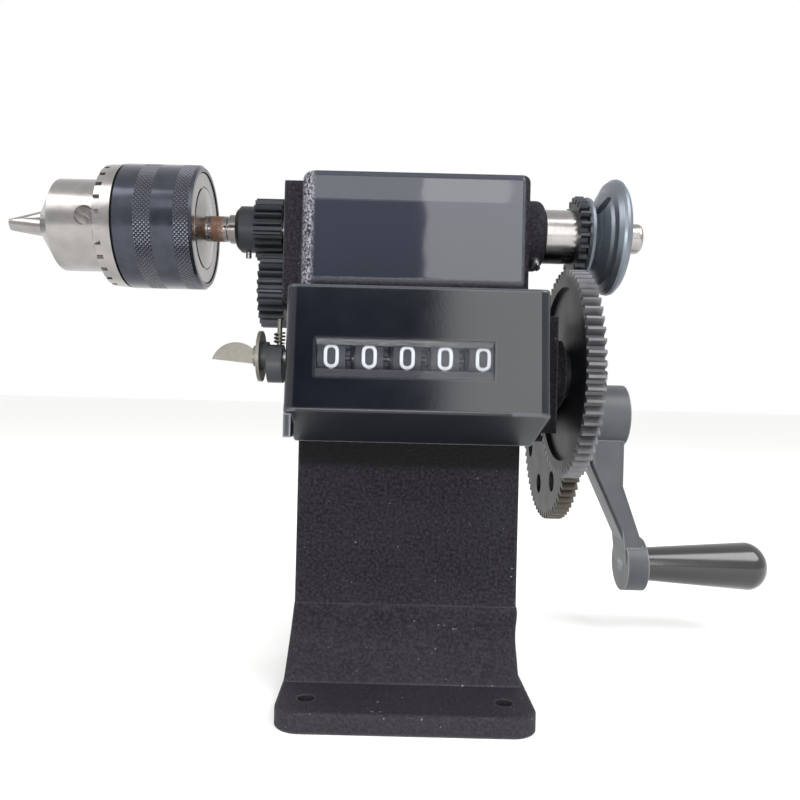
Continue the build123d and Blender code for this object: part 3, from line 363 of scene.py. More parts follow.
# the base flange is drawn lighter, and the lightening fades out up the column
LIGHTER_BASE_ENDS, LIGHTER_BASE_FULL, LIGHTER_BASE_SHARE = 42.0, 6.0, 0.1
lighter_base_share = add_node(
    tree,
    "ShaderNodeMapRange",
    {
        "Value": place.outputs["Z"],
        "From Min": LIGHTER_BASE_ENDS * MM,
        "From Max": LIGHTER_BASE_FULL * MM,
        "To Max": LIGHTER_BASE_SHARE,
    },
).outputs[0]
paint_colour = add_node(
    tree, "ShaderNodeMix", {0: lighter_base_share, 6: paint_colour, 7: srgb("#67646a")}, data_type="RGBA"
).outputs[2]
tree.links.new(paint_colour, shader.inputs["Base Color"])
paint_roughness = add_node(
    tree, "ShaderNodeMapRange", {"Value": smooth_head, "To Min": 0.5, "To Max": 0.045}
).outputs[0]
grain_gloss = add_node(
    tree, "ShaderNodeMath", {0: grain, 1: 0.22, 2: paint_roughness}, operation="MULTIPLY_ADD"
).outputs[0]
gloss_mix = add_node(tree, "ShaderNodeMix", {0: smooth_head, 2: grain_gloss, 3: paint_roughness})
tree.links.new(gloss_mix.outputs[0], shader.inputs["Roughness"])
gloss_level = add_node(
    tree, "ShaderNodeMapRange", {"Value": smooth_head, "To Min": 0.12, "To Max": 0.45}
).outputs[0]
tree.links.new(gloss_level, shader.inputs["Specular IOR Level"])
relief = add_node(
    tree, "ShaderNodeMath", {0: grain, 1: rough_share}, operation="MULTIPLY"
).outputs[0]
relief = add_node(
    tree, "ShaderNodeMath", {0: patches, 1: 0.05, 2: relief}, operation="MULTIPLY_ADD"
).outputs[0]
# the file also rounded the top of the head's front: a slope of a few degrees in the relief
ROUNDING_STARTS, ROUNDING_ENDS, ROUNDING_DROP = 161.0, 177.0, -1.3
rounding = add_node(
    tree,
    "ShaderNodeMapRange",
    {
        "Value": place.outputs["Z"],
        "From Min": ROUNDING_STARTS * MM,
        "From Max": ROUNDING_ENDS * MM,
        "To Max": ROUNDING_DROP,
    },
    interpolation_type="SMOOTHERSTEP",
).outputs[0]
relief = add_node(
    tree, "ShaderNodeMath", {0: rounding, 1: smooth_head, 2: relief}, operation="MULTIPLY_ADD"
).outputs[0]
cast_bump = add_node(
    tree, "ShaderNodeBump", {"Height": relief, "Distance": 0.7 * MM, "Strength": 1.0}
).outputs[0]
tree.links.new(cast_bump, shader.inputs["Normal"])
finish_pieces(cast_paint, "frame_casting")

# %% [markdown]
# ## Turned steel
# The spindle, its collar, the chuck's body, its toothed ring and its back plate are
# bare steel. A lathe tool leaves fine rings: they run round a cylinder, and in
# circles on a flat end. Distance from the axis plus distance along it gives both at
# once, because only one of the two changes on each surface. A one-dimensional noise
# of that sum is the height of the rings. They are drawn about 0.4 mm wide, coarser
# than the real feed of a lathe, so that they still show at this size.

# %% Rings left by the lathe
def axis_distance(tree, point, axis_y, axis_z):
    """Distance of the point from an axis that runs along X at that place."""
    from_axis = add_node(
        tree, "ShaderNodeVectorMath", {0: point, 1: (0.0, axis_y, axis_z)}, operation="SUBTRACT"
    ).outputs[0]
    across = add_node(
        tree, "ShaderNodeVectorMath", {0: from_axis, 1: (0.0, 1.0, 1.0)}, operation="MULTIPLY"
    ).outputs[0]
    return add_node(
        tree, "ShaderNodeVectorMath", {0: across}, operation="LENGTH"
    ).outputs["Value"]


def lathe_rings(tree, point, axis_y, axis_z, ring_mm):
    """Height from 0 to 1 of the rings that a lathe leaves round such an axis."""
    reach = axis_distance(tree, point, axis_y, axis_z)
    along = add_node(tree, "ShaderNodeSeparateXYZ", {0: point}).outputs["X"]
    run = add_node(tree, "ShaderNodeMath", {0: reach, 1: along}, operation="ADD").outputs[0]
    return add_node(
        tree,
        "ShaderNodeTexNoise",
        {"W": run, "Scale": per_mm(ring_mm), "Detail": 2.0},
        noise_dimensions="1D",
    ).outputs[0]


# %% Bright turned steel, rusted beside the chuck
bright_steel, tree, shader, point = new_material("turned steel with a little rust", Metallic=1.0)
rings = lathe_rings(tree, point, SPINDLE_Y, SPINDLE_Z, 0.4)
along = add_node(tree, "ShaderNodeSeparateXYZ", {0: point}).outputs["X"]
RUST_FROM, RUST_FULL, RUST_LEAVES, RUST_ENDS = -72.4, -71.2, -68.2, -65.5
rust_start = add_node(
    tree,
    "ShaderNodeMapRange",
    {"Value": along, "From Min": RUST_FROM * MM, "From Max": RUST_FULL * MM},
).outputs[0]
rust_stop = add_node(
    tree,
    "ShaderNodeMapRange",
    {"Value": along, "From Min": RUST_ENDS * MM, "From Max": RUST_LEAVES * MM},
).outputs[0]
rust_blotches = add_node(
    tree,
    "ShaderNodeTexNoise",
    {"Vector": point, "Scale": per_mm(2.5), "Detail": 4.0, "Roughness": 0.7},
).outputs[0]
stains = add_node(
    tree, "ShaderNodeTexNoise", {"Vector": point, "Scale": per_mm(7), "Detail": 3.0}
).outputs[0]
rust = add_node(
    tree, "ShaderNodeMath", {0: rust_start, 1: rust_stop}, operation="MULTIPLY"
).outputs[0]
rust = add_node(
    tree, "ShaderNodeMath", {0: rust, 1: rust_blotches}, operation="MULTIPLY"
).outputs[0]
rust = add_node(
    tree, "ShaderNodeMapRange", {"Value": rust, "From Min": 0.22, "From Max": 0.50}
).outputs[0]

# %% Colour and gloss of the turned steel
# the arbor between the chuck and the hub is drawn darker
ARBOR_MIDDLE, ARBOR_HALF = -67.5, 5.3
steel_colour = add_node(
    tree, "ShaderNodeMix", {0: stains, 6: srgb("#7b7877"), 7: srgb("#a5a2a0")}, data_type="RGBA"
).outputs[2]
arbor_zone = add_node(
    tree,
    "ShaderNodeMath",
    {0: along, 1: ARBOR_MIDDLE * MM, 2: ARBOR_HALF * MM},
    operation="COMPARE",
).outputs[0]
darker_arbor_share = add_node(tree, "ShaderNodeMath", {0: arbor_zone, 1: 0.6}, operation="MULTIPLY").outputs[0]
steel_colour = add_node(
    tree, "ShaderNodeMix", {0: darker_arbor_share, 6: steel_colour, 7: srgb("#4b4846")}, data_type="RGBA"
).outputs[2]
rusted_colour = add_node(
    tree, "ShaderNodeMix", {0: rust, 6: steel_colour, 7: srgb("#745a4c")}, data_type="RGBA"
).outputs[2]
tree.links.new(rusted_colour, shader.inputs["Base Color"])
polish = add_node(
    tree, "ShaderNodeMapRange", {"Value": stains, "To Min": 0.14, "To Max": 0.30}
).outputs[0]
steel_roughness = add_node(tree, "ShaderNodeMix", {0: rust, 2: polish, 3: 0.75}).outputs[0]
tree.links.new(steel_roughness, shader.inputs["Roughness"])
ring_bump = add_node(
    tree, "ShaderNodeBump", {"Height": rings, "Distance": 0.02 * MM, "Strength": 0.7}
).outputs[0]
rust_bump = add_node(
    tree,
    "ShaderNodeBump",
    {"Height": rust, "Distance": 0.08 * MM, "Normal": ring_bump, "Strength": 0.8},
).outputs[0]
tree.links.new(rust_bump, shader.inputs["Normal"])
finish_pieces(
    bright_steel,
    "spindle_shaft",
    "spindle_collar",
    "chuck_body",
    "chuck_gear_ring",
    "chuck_back_plate",
    "chuck_jaw_1",
    "chuck_jaw_2",
    "chuck_jaw_3",
)

# %% [markdown]
# ## Plain steel shafts, pins and screws
# The shafts, pins and screws are drawn bar, a little stained by handling. They lie
# in many directions, so instead of rings they get soft stains and the faint cloudy
# unevenness that drawn bar has.

# %% Drawn steel bar
drawn_steel, tree, shader, point = new_material("drawn steel bar", Metallic=1.0)
stains = add_node(
    tree, "ShaderNodeTexNoise", {"Vector": point, "Scale": per_mm(3), "Detail": 4.0}
).outputs[0]
bar_colour = add_node(
    tree, "ShaderNodeMix", {0: stains, 6: srgb("#77787b"), 7: srgb("#a2a3a6")}, data_type="RGBA"
).outputs[2]
tree.links.new(bar_colour, shader.inputs["Base Color"])
bar_roughness = add_node(
    tree, "ShaderNodeMapRange", {"Value": stains, "To Min": 0.28, "To Max": 0.5}
).outputs[0]
tree.links.new(bar_roughness, shader.inputs["Roughness"])
bar_bump = add_node(
    tree, "ShaderNodeBump", {"Height": stains, "Distance": 0.02 * MM, "Strength": 0.6}
).outputs[0]
tree.links.new(bar_bump, shader.inputs["Normal"])
finish_pieces(
    drawn_steel,
    "bush_screw",
    "carry_shaft",
    "counter_gear_pins",
    "counter_input_shaft",
    "crank_shaft",
    "intermediate_shaft",
    "roll_pin",
    "wheel_shaft",
)

# %% [markdown]
# ## Blued steel with knurled bands
# The sleeve of the chuck is turned by hand, so it has two knurled bands. The steel
# is blackened hot in a salt bath, which leaves a blue-black skin that is worn to
# bright metal on the crests. A knurl is two sets of grooves that cross at an angle.
# Each set is a ramp in distance along the sleeve plus or minus the angle round it,
# folded back and forth, and the lower of the two heights gives small pyramids. The
# number of grooves round the sleeve is whole, so the pattern closes on itself.

# %% Knurl of the sleeve
SLEEVE_RADIUS = 21.7
GROOVES_ROUND = 96
GROOVE_PITCH = 2 * math.pi * SLEEVE_RADIUS / GROOVES_ROUND
KNURLED_BANDS = ((-93.2, -87.4), (-80.0, -74.9))
blued_steel, tree, shader, point = new_material("blued steel, knurled", Metallic=0.75)
place = add_node(tree, "ShaderNodeSeparateXYZ", {0: point})
off_y = add_node(
    tree, "ShaderNodeMath", {0: place.outputs["Y"], 1: SPINDLE_Y}, operation="SUBTRACT"
)
off_z = add_node(
    tree, "ShaderNodeMath", {0: place.outputs["Z"], 1: SPINDLE_Z}, operation="SUBTRACT"
)
turn = add_node(
    tree, "ShaderNodeMath", {0: off_y.outputs[0], 1: off_z.outputs[0]}, operation="ARCTAN2"
).outputs[0]
round_count = add_node(
    tree, "ShaderNodeMath", {0: turn, 1: GROOVES_ROUND / (2 * math.pi)}, operation="MULTIPLY"
).outputs[0]
along_count = add_node(
    tree, "ShaderNodeMath", {0: place.outputs["X"], 1: per_mm(GROOVE_PITCH)}, operation="MULTIPLY"
).outputs[0]
heights = []
for direction in ("ADD", "SUBTRACT"):
    ramp = add_node(tree, "ShaderNodeMath", {0: along_count, 1: round_count}, operation=direction)
    fold = add_node(tree, "ShaderNodeMath", {0: ramp.outputs[0], 1: 0.5}, operation="PINGPONG")
    heights.append(fold.outputs[0])
pyramids = add_node(
    tree, "ShaderNodeMath", {0: heights[0], 1: heights[1]}, operation="MINIMUM"
).outputs[0]
bands = []
for start, end in KNURLED_BANDS:
    middle, half = (start + end) / 2, (end - start) / 2
    inside = add_node(
        tree,
        "ShaderNodeMath",
        {0: place.outputs["X"], 1: middle * MM, 2: half * MM},
        operation="COMPARE",
    )
    bands.append(inside.outputs[0])
knurled = add_node(
    tree, "ShaderNodeMath", {0: bands[0], 1: bands[1]}, operation="MAXIMUM"
).outputs[0]

# %% Colour and gloss of the blued steel
skin = add_node(
    tree, "ShaderNodeTexNoise", {"Vector": point, "Scale": per_mm(4), "Detail": 4.0}
).outputs[0]
crests = add_node(
    tree, "ShaderNodeMapRange", {"Value": pyramids, "From Min": 0.24, "From Max": 0.5}
).outputs[0]
crests = add_node(tree, "ShaderNodeMath", {0: crests, 1: knurled}, operation="MULTIPLY").outputs[0]
skin_colour = add_node(
    tree, "ShaderNodeMix", {0: skin, 6: srgb("#2c2e35"), 7: srgb("#454852")}, data_type="RGBA"
).outputs[2]
worn_colour = add_node(
    tree, "ShaderNodeMix", {0: crests, 6: skin_colour, 7: srgb("#7c7e87")}, data_type="RGBA"
).outputs[2]
tree.links.new(worn_colour, shader.inputs["Base Color"])
skin_roughness = add_node(
    tree, "ShaderNodeMapRange", {"Value": skin, "To Min": 0.12, "To Max": 0.22}
).outputs[0]
tree.links.new(skin_roughness, shader.inputs["Roughness"])
knurl_height = add_node(
    tree, "ShaderNodeMath", {0: pyramids, 1: knurled}, operation="MULTIPLY"
).outputs[0]
knurl_bump = add_node(
    tree, "ShaderNodeBump", {"Height": knurl_height, "Distance": 1.0 * MM, "Strength": 1.0}
).outputs[0]
tree.links.new(knurl_bump, shader.inputs["Normal"])
finish_pieces(
    blued_steel,
    "chuck_sleeve",
    "chuck_nut",
    "pulley_set_screw",
    "crank_set_screw",
    "retaining_clip",
    "handle_pin",
)

# %% [markdown]
# ## Gear steel
# The gears are cut from steel and left as cut, darkened by old oil in soft patches.
# Where teeth rub on teeth the oil is wiped off, so beyond the root circle the metal
# is brighter. Each large gear needs its own axis for that circle, so the finish is
# built once for each of them and once for the small gears.

# %% Oiled cut steel
TOOTH_FADE_IN, TOOTH_FADE_OUT = -0.4, 0.6
GEAR_FINISHES = [
    # name, axis Y and Z, root radius in millimetres, colours of the teeth, gears
    (
        "cut steel darkened by oil",
        (-11.0, 108.8, 34.4),
        ("#424347", "#707073"),
        ("intermediate_gear",),
    ),
    (
        "cut steel browned by old oil",
        (43.157, 93.6, 42.3),
        ("#332f2a", "#504b44"),
        ("crank_gear",),
    ),
    (
        # these keep their oil between the teeth, and are dark there too
        "small gears, cut steel darkened by oil",
        (-11.0, 158.0, 13.0),
        ("#1e2024", "#3b3e43"),
        ("counter_gear", "counter_pinion", "intermediate_pinion", "spindle_pinion"),
    ),
]
for finish_name, (axis_y, axis_z, root_mm), (tooth_dark, tooth_light), gears in GEAR_FINISHES:
    gear_steel, tree, shader, point = new_material(finish_name, Metallic=0.6)
    oil = add_node(
        tree, "ShaderNodeTexNoise", {"Vector": point, "Scale": per_mm(9), "Detail": 4.0}
    ).outputs[0]
    tool_marks = add_node(
        tree, "ShaderNodeTexNoise", {"Vector": point, "Scale": per_mm(0.8), "Detail": 3.0}
    ).outputs[0]
    reach = axis_distance(tree, point, axis_y * MM, axis_z * MM)
    worn_teeth = add_node(
        tree,
        "ShaderNodeMapRange",
        {
            "Value": reach,
            "From Min": (root_mm + TOOTH_FADE_IN) * MM,
            "From Max": (root_mm + TOOTH_FADE_OUT) * MM,
        },
    ).outputs[0]
    face_colour = add_node(
        tree, "ShaderNodeMix", {0: oil, 6: srgb("#17191d"), 7: srgb("#2b2d32")}, data_type="RGBA"
    ).outputs[2]
    tooth_colour = add_node(
        tree, "ShaderNodeMix", {0: oil, 6: srgb(tooth_dark), 7: srgb(tooth_light)}, data_type="RGBA"
    ).outputs[2]
    gear_colour = add_node(
        tree, "ShaderNodeMix", {0: worn_teeth, 6: face_colour, 7: tooth_colour}, data_type="RGBA"
    ).outputs[2]
    tree.links.new(gear_colour, shader.inputs["Base Color"])
    oil_roughness = add_node(
        tree, "ShaderNodeMapRange", {"Value": oil, "To Min": 0.36, "To Max": 0.55}
    ).outputs[0]
    tree.links.new(oil_roughness, shader.inputs["Roughness"])
    mark_bump = add_node(
        tree, "ShaderNodeBump", {"Height": tool_marks, "Distance": 0.04 * MM, "Strength": 0.7}
    ).outputs[0]
    tree.links.new(mark_bump, shader.inputs["Normal"])
    finish_pieces(gear_steel, *gears)

# %% [markdown]
# ## Grey turned hand wheel
# The belt pulley and its hand disc are turned from iron and lightly greyed by wear
# and oil. The broad turning rings catch the light as pale stripes, which is what
# the eye takes for a lathe-cut face.

# %% Greyed turned iron
greyed_iron, tree, shader, point = new_material("turned iron greyed by handling", Metallic=0.85)
rings = lathe_rings(tree, point, SPINDLE_Y, SPINDLE_Z, 0.7)
wear = add_node(
    tree, "ShaderNodeTexNoise", {"Vector": point, "Scale": per_mm(8), "Detail": 4.0}
).outputs[0]
iron_colour = add_node(
    tree, "ShaderNodeMix", {0: wear, 6: srgb("#565c64"), 7: srgb("#7a8088")}, data_type="RGBA"
).outputs[2]
tree.links.new(iron_colour, shader.inputs["Base Color"])
iron_roughness = add_node(
    tree, "ShaderNodeMapRange", {"Value": rings, "To Min": 0.26, "To Max": 0.5}
).outputs[0]
tree.links.new(iron_roughness, shader.inputs["Roughness"])
iron_bump = add_node(
    tree, "ShaderNodeBump", {"Height": rings, "Distance": 0.03 * MM, "Strength": 0.6}
).outputs[0]
tree.links.new(iron_bump, shader.inputs["Normal"])
finish_pieces(greyed_iron, "belt_pulley")

# %% [markdown]
# ## Grey paint on the crank
# The crank arm is a casting under grey machine paint. The paint has an orange-peel
# skin about two millimetres across and has worn dark on the edges that hands and
# screwdrivers touch.

# %% Grey machine paint
machine_paint, tree, shader, point = new_material("grey machine paint on cast iron", IOR=1.5)
peel = add_node(
    tree, "ShaderNodeTexNoise", {"Vector": point, "Scale": per_mm(2.2), "Detail": 2.0}
).outputs[0]
grime = add_node(
    tree, "ShaderNodeTexNoise", {"Vector": point, "Scale": per_mm(12), "Detail": 4.0}
).outputs[0]
crank_edges = worn_edges(tree, 0.8, flat=0.995, sharp=0.90)
crank_colour = add_node(
    tree, "ShaderNodeMix", {0: grime, 6: srgb("#2a2d31"), 7: srgb("#424549")}, data_type="RGBA"
).outputs[2]
crank_colour = add_node(
    tree, "ShaderNodeMix", {0: crank_edges, 6: crank_colour, 7: srgb("#7d7f82")}, data_type="RGBA"
).outputs[2]
tree.links.new(crank_colour, shader.inputs["Base Color"])
crank_roughness = add_node(
    tree, "ShaderNodeMapRange", {"Value": grime, "To Min": 0.3, "To Max": 0.48}
).outputs[0]
tree.links.new(crank_roughness, shader.inputs["Roughness"])
peel_bump = add_node(
    tree, "ShaderNodeBump", {"Height": peel, "Distance": 0.08 * MM, "Strength": 0.7}
).outputs[0]
tree.links.new(peel_bump, shader.inputs["Normal"])
finish_pieces(machine_paint, "crank_arm")

# %% [markdown]
# ## Bakelite handle
# The grip is pressed from black bakelite, which comes out of its mould with a hard
# gloss. Years of hands leave it slightly cloudy, with hair-fine scratches that run
# round it. The shader is a plain glossy plastic with an index of 1.6, and the
# clouding changes only its roughness.

# %% Pressed black bakelite
HANDLE_Z = 29.6 * MM
bakelite, tree, shader, point = new_material("pressed black bakelite", IOR=1.6, Coat_Weight=0.3)
scratches = lathe_rings(tree, point, SPINDLE_Y, HANDLE_Z, 0.5)
clouds = add_node(
    tree, "ShaderNodeTexNoise", {"Vector": point, "Scale": per_mm(10), "Detail": 3.0}
).outputs[0]
grip_colour = add_node(
    tree, "ShaderNodeMix", {0: clouds, 6: srgb("#09080a"), 7: srgb("#141315")}, data_type="RGBA"
).outputs[2]
tree.links.new(grip_colour, shader.inputs["Base Color"])
grip_roughness = add_node(
    tree, "ShaderNodeMapRange", {"Value": clouds, "To Min": 0.14, "To Max": 0.24}
).outputs[0]
tree.links.new(grip_roughness, shader.inputs["Roughness"])
grip_bump = add_node(
    tree, "ShaderNodeBump", {"Height": scratches, "Distance": 0.008 * MM, "Strength": 0.6}
).outputs[0]
tree.links.new(grip_bump, shader.inputs["Normal"])
finish_pieces(bakelite, "crank_handle")

# %% [markdown]
# ## Stove enamel on the counter
# The case of the counter is bent from sheet and stoved with gloss black enamel. Its
# flat front mirrors the cards. Its edges are pale grey, partly rubbed enamel and
# partly a painted highlight along the rounded edges. A Bevel node finds those edges:
# it blurs the normal over a millimetre, and where the blurred normal leaves the true
# one, there is an edge.

# %% Gloss black stove enamel
enamel, tree, shader, point = new_material(
    "gloss black stove enamel", IOR=1.5, Specular_IOR_Level=0.4
)
haze = add_node(
    tree, "ShaderNodeTexNoise", {"Vector": point, "Scale": per_mm(11), "Detail": 4.0}
).outputs[0]
dust = add_node(
    tree, "ShaderNodeTexNoise", {"Vector": point, "Scale": per_mm(0.9), "Detail": 2.0}
).outputs[0]
rubbed_and_highlit_edges = worn_edges(tree, 1.1, flat=0.998, sharp=0.93)
# the edges of the window opening and the lower edge, which no hand rubs, get only a little of the
# pale edge colour, wear and painted highlight alike
PALE_EDGE_AT_WINDOW = 0.12
WINDOW_ZONE = (("X", -2.85, 31.5), ("Z", 105.5, 12.5))
case_place = add_node(tree, "ShaderNodeSeparateXYZ", {0: point})
kept = []
for axis, middle, half in WINDOW_ZONE:
    inside = add_node(
        tree,
        "ShaderNodeMath",
        {0: case_place.outputs[axis], 1: middle * MM, 2: half * MM},
        operation="COMPARE",
    )
    kept.append(inside.outputs[0])
at_window = add_node(
    tree, "ShaderNodeMath", {0: kept[0], 1: kept[1]}, operation="MULTIPLY"
).outputs[0]
pale_edge_share = add_node(
    tree, "ShaderNodeMapRange", {"Value": at_window, "To Min": 1.0, "To Max": PALE_EDGE_AT_WINDOW}
).outputs[0]
rubbed_and_highlit_edges = add_node(
    tree, "ShaderNodeMath", {0: rubbed_and_highlit_edges, 1: pale_edge_share}, operation="MULTIPLY"
).outputs[0]
enamel_colour = add_node(
    tree, "ShaderNodeMix", {0: haze, 6: srgb("#080a0f"), 7: srgb("#12161d")}, data_type="RGBA"
).outputs[2]
# pale edges: partly rubbed enamel, partly a painted highlight on the rounded edges of the case
enamel_colour = add_node(
    tree, "ShaderNodeMix", {0: rubbed_and_highlit_edges, 6: enamel_colour, 7: srgb("#70747a")}, data_type="RGBA"
).outputs[2]
tree.links.new(enamel_colour, shader.inputs["Base Color"])
enamel_roughness = add_node(
    tree, "ShaderNodeMapRange", {"Value": haze, "To Min": 0.09, "To Max": 0.17}
).outputs[0]
# the feet under the case are less glossy than the case
FOOT_EDGE = [("Z", 95.6, 94.4)]
FOOT_HAZE = 0.35
foot_haze = add_node(
    tree,
    "ShaderNodeMath",
    {0: zone(tree, case_place, FOOT_EDGE), 1: FOOT_HAZE},
    operation="MULTIPLY",
).outputs[0]
enamel_roughness = add_node(
    tree, "ShaderNodeMath", {0: enamel_roughness, 1: foot_haze}, operation="ADD"
).outputs[0]
tree.links.new(enamel_roughness, shader.inputs["Roughness"])
dust_bump = add_node(
    tree, "ShaderNodeBump", {"Height": dust, "Distance": 0.012 * MM, "Strength": 0.5}
).outputs[0]
# the sheet of the case is not quite flat: a slope of one degree moves the mirrored card sideways
SHEET_SLOPE = 19.0
slope = add_node(
    tree, "ShaderNodeMath", {0: case_place.outputs["X"], 1: SHEET_SLOPE}, operation="MULTIPLY"
).outputs[0]
sheet_bump = add_node(
    tree, "ShaderNodeBump", {"Height": slope, "Distance": 1.0 * MM, "Normal": dust_bump}
).outputs[0]
tree.links.new(sheet_bump, shader.inputs["Normal"])
finish_pieces(enamel, "counter_case")

# %% [markdown]
# ## Inside the counter
# The number wheels and the hub of the reset key are moulded in dark grey plastic,
# satin from the mould, and the small gears behind them in white acetal. The window
# is a thin pane of clear acrylic. It is drawn as a mostly see-through sheet with the
# gloss of acrylic, so that light still falls on the numerals behind it, and years of
# wiping leave it a little cloudy.

# %% Moulded number wheels
wheel_plastic, tree, shader, point = new_material("moulded dark grey plastic", IOR=1.5)
mould = add_node(
    tree, "ShaderNodeTexNoise", {"Vector": point, "Scale": per_mm(5), "Detail": 3.0}
).outputs[0]
wheel_colour = add_node(
    tree, "ShaderNodeMix", {0: mould, 6: srgb("#15171c"), 7: srgb("#21242a")}, data_type="RGBA"
).outputs[2]
tree.links.new(wheel_colour, shader.inputs["Base Color"])
wheel_roughness = add_node(
    tree, "ShaderNodeMapRange", {"Value": mould, "To Min": 0.38, "To Max": 0.55}
).outputs[0]
tree.links.new(wheel_roughness, shader.inputs["Roughness"])
mould_bump = add_node(
    tree, "ShaderNodeBump", {"Height": mould, "Distance": 0.02 * MM, "Strength": 0.5}
).outputs[0]
tree.links.new(mould_bump, shader.inputs["Normal"])
WHEEL_NAMES = [f"number_wheel_{number}" for number in range(1, 6)]
finish_pieces(wheel_plastic, *WHEEL_NAMES, "reset_hub")

# %% White acetal gears
acetal, tree, shader, point = new_material("moulded white acetal", IOR=1.48)
mould = add_node(
    tree, "ShaderNodeTexNoise", {"Vector": point, "Scale": per_mm(4), "Detail": 3.0}
).outputs[0]
acetal_colour = add_node(
    tree, "ShaderNodeMix", {0: mould, 6: srgb("#dcdad2"), 7: srgb("#ecebe5")}, data_type="RGBA"
).outputs[2]
tree.links.new(acetal_colour, shader.inputs["Base Color"])
acetal_roughness = add_node(
    tree, "ShaderNodeMapRange", {"Value": mould, "To Min": 0.35, "To Max": 0.5}
).outputs[0]
tree.links.new(acetal_roughness, shader.inputs["Roughness"])
acetal_bump = add_node(
    tree, "ShaderNodeBump", {"Height": mould, "Distance": 0.02 * MM, "Strength": 0.5}
).outputs[0]
tree.links.new(acetal_bump, shader.inputs["Normal"])
finish_pieces(
    acetal,
    "carry_pinion_1",
    "carry_pinion_2",
    "carry_pinion_3",
    "carry_pinion_4",
    "counter_idler",
    "reduction_gear",
)

# %% Clear acrylic pane
PANE_HOLDS_BACK = 0.14
acrylic, tree, shader, point = new_material("clear acrylic", IOR=1.49, Alpha=PANE_HOLDS_BACK)
wiping = add_node(
    tree, "ShaderNodeTexNoise", {"Vector": point, "Scale": per_mm(6), "Detail": 3.0}
).outputs[0]
pane_colour = add_node(
    tree, "ShaderNodeMix", {0: wiping, 6: srgb("#20242a"), 7: srgb("#3c424c")}, data_type="RGBA"
).outputs[2]
tree.links.new(pane_colour, shader.inputs["Base Color"])
pane_roughness = add_node(
    tree, "ShaderNodeMapRange", {"Value": wiping, "To Min": 0.02, "To Max": 0.1}
).outputs[0]
tree.links.new(pane_roughness, shader.inputs["Roughness"])
pane_bump = add_node(
    tree, "ShaderNodeBump", {"Height": wiping, "Distance": 0.01 * MM, "Strength": 0.3}
).outputs[0]
tree.links.new(pane_bump, shader.inputs["Normal"])
finish_pieces(acrylic, "counter_window")

# %% [markdown]
# ## Dull nickel and bronze
# The reset key beside the counter is nickel plated brass that has gone dull: warm
# grey, satin, with darker freckles. The bearings of the spindle are bronze bushes
# with oil in their pores.

# %% Dull nickel plate
dull_nickel, tree, shader, point = new_material("dull nickel plate", Metallic=1.0)
freckles = add_node(
    tree, "ShaderNodeTexNoise", {"Vector": point, "Scale": per_mm(1.8), "Detail": 4.0}
).outputs[0]
nickel_colour = add_node(
    tree, "ShaderNodeMix", {0: freckles, 6: srgb("#5c5a54"), 7: srgb("#7c7a73")}, data_type="RGBA"
).outputs[2]
tree.links.new(nickel_colour, shader.inputs["Base Color"])
nickel_roughness = add_node(
    tree, "ShaderNodeMapRange", {"Value": freckles, "To Min": 0.34, "To Max": 0.6}
).outputs[0]
tree.links.new(nickel_roughness, shader.inputs["Roughness"])
nickel_bump = add_node(
    tree, "ShaderNodeBump", {"Height": freckles, "Distance": 0.03 * MM, "Strength": 0.6}
).outputs[0]
tree.links.new(nickel_bump, shader.inputs["Normal"])
finish_pieces(dull_nickel, "reset_wing", "reset_washer", "reset_pin", "reset_spring")

# %% Oiled bronze
bronze, tree, shader, point = new_material("oil-soaked bronze", Metallic=1.0)
pores = add_node(
    tree, "ShaderNodeTexNoise", {"Vector": point, "Scale": per_mm(0.7), "Detail": 3.0}
).outputs[0]
bronze_colour = add_node(
    tree, "ShaderNodeMix", {0: pores, 6: srgb("#7a5a32"), 7: srgb("#a9824c")}, data_type="RGBA"
).outputs[2]
tree.links.new(bronze_colour, shader.inputs["Base Color"])
bronze_roughness = add_node(
    tree, "ShaderNodeMapRange", {"Value": pores, "To Min": 0.3, "To Max": 0.5}
).outputs[0]
tree.links.new(bronze_roughness, shader.inputs["Roughness"])
bronze_bump = add_node(
    tree, "ShaderNodeBump", {"Height": pores, "Distance": 0.02 * MM, "Strength": 0.6}
).outputs[0]
tree.links.new(bronze_bump, shader.inputs["Normal"])
finish_pieces(bronze, "spindle_bush_left", "spindle_bush_right")

# %% [markdown]
# ## Numerals on the counter wheels
# Each wheel carries the ten digits in white paint. A digit starts as flat text in
# front of the wheel and becomes a mesh; the zero is a plane with round ends, inset.
# Cuts across it every half millimetre let it bend, and a Shrinkwrap modifier then
# presses it on to the wheel. A little thickness makes it stand as paint does. The
# ten digits of the first wheel are joined and copied to the other four, each copy
# with its own mesh.

# %% White numeral paint
numeral_paint, tree, shader, point = new_material("white numeral paint", IOR=1.5)
fade = add_node(
    tree, "ShaderNodeTexNoise", {"Vector": point, "Scale": per_mm(2.0), "Detail": 3.0}
).outputs[0]
numeral_colour = add_node(
    tree, "ShaderNodeMix", {0: fade, 6: srgb("#c6cbd3"), 7: srgb("#e3e7ee")}, data_type="RGBA"
).outputs[2]
tree.links.new(numeral_colour, shader.inputs["Base Color"])
numeral_roughness = add_node(
    tree, "ShaderNodeMapRange", {"Value": fade, "To Min": 0.35, "To Max": 0.55}
).outputs[0]
tree.links.new(numeral_roughness, shader.inputs["Roughness"])
numeral_bump = add_node(
    tree, "ShaderNodeBump", {"Height": fade, "Distance": 0.01 * MM, "Strength": 0.4}
).outputs[0]
tree.links.new(numeral_bump, shader.inputs["Normal"])

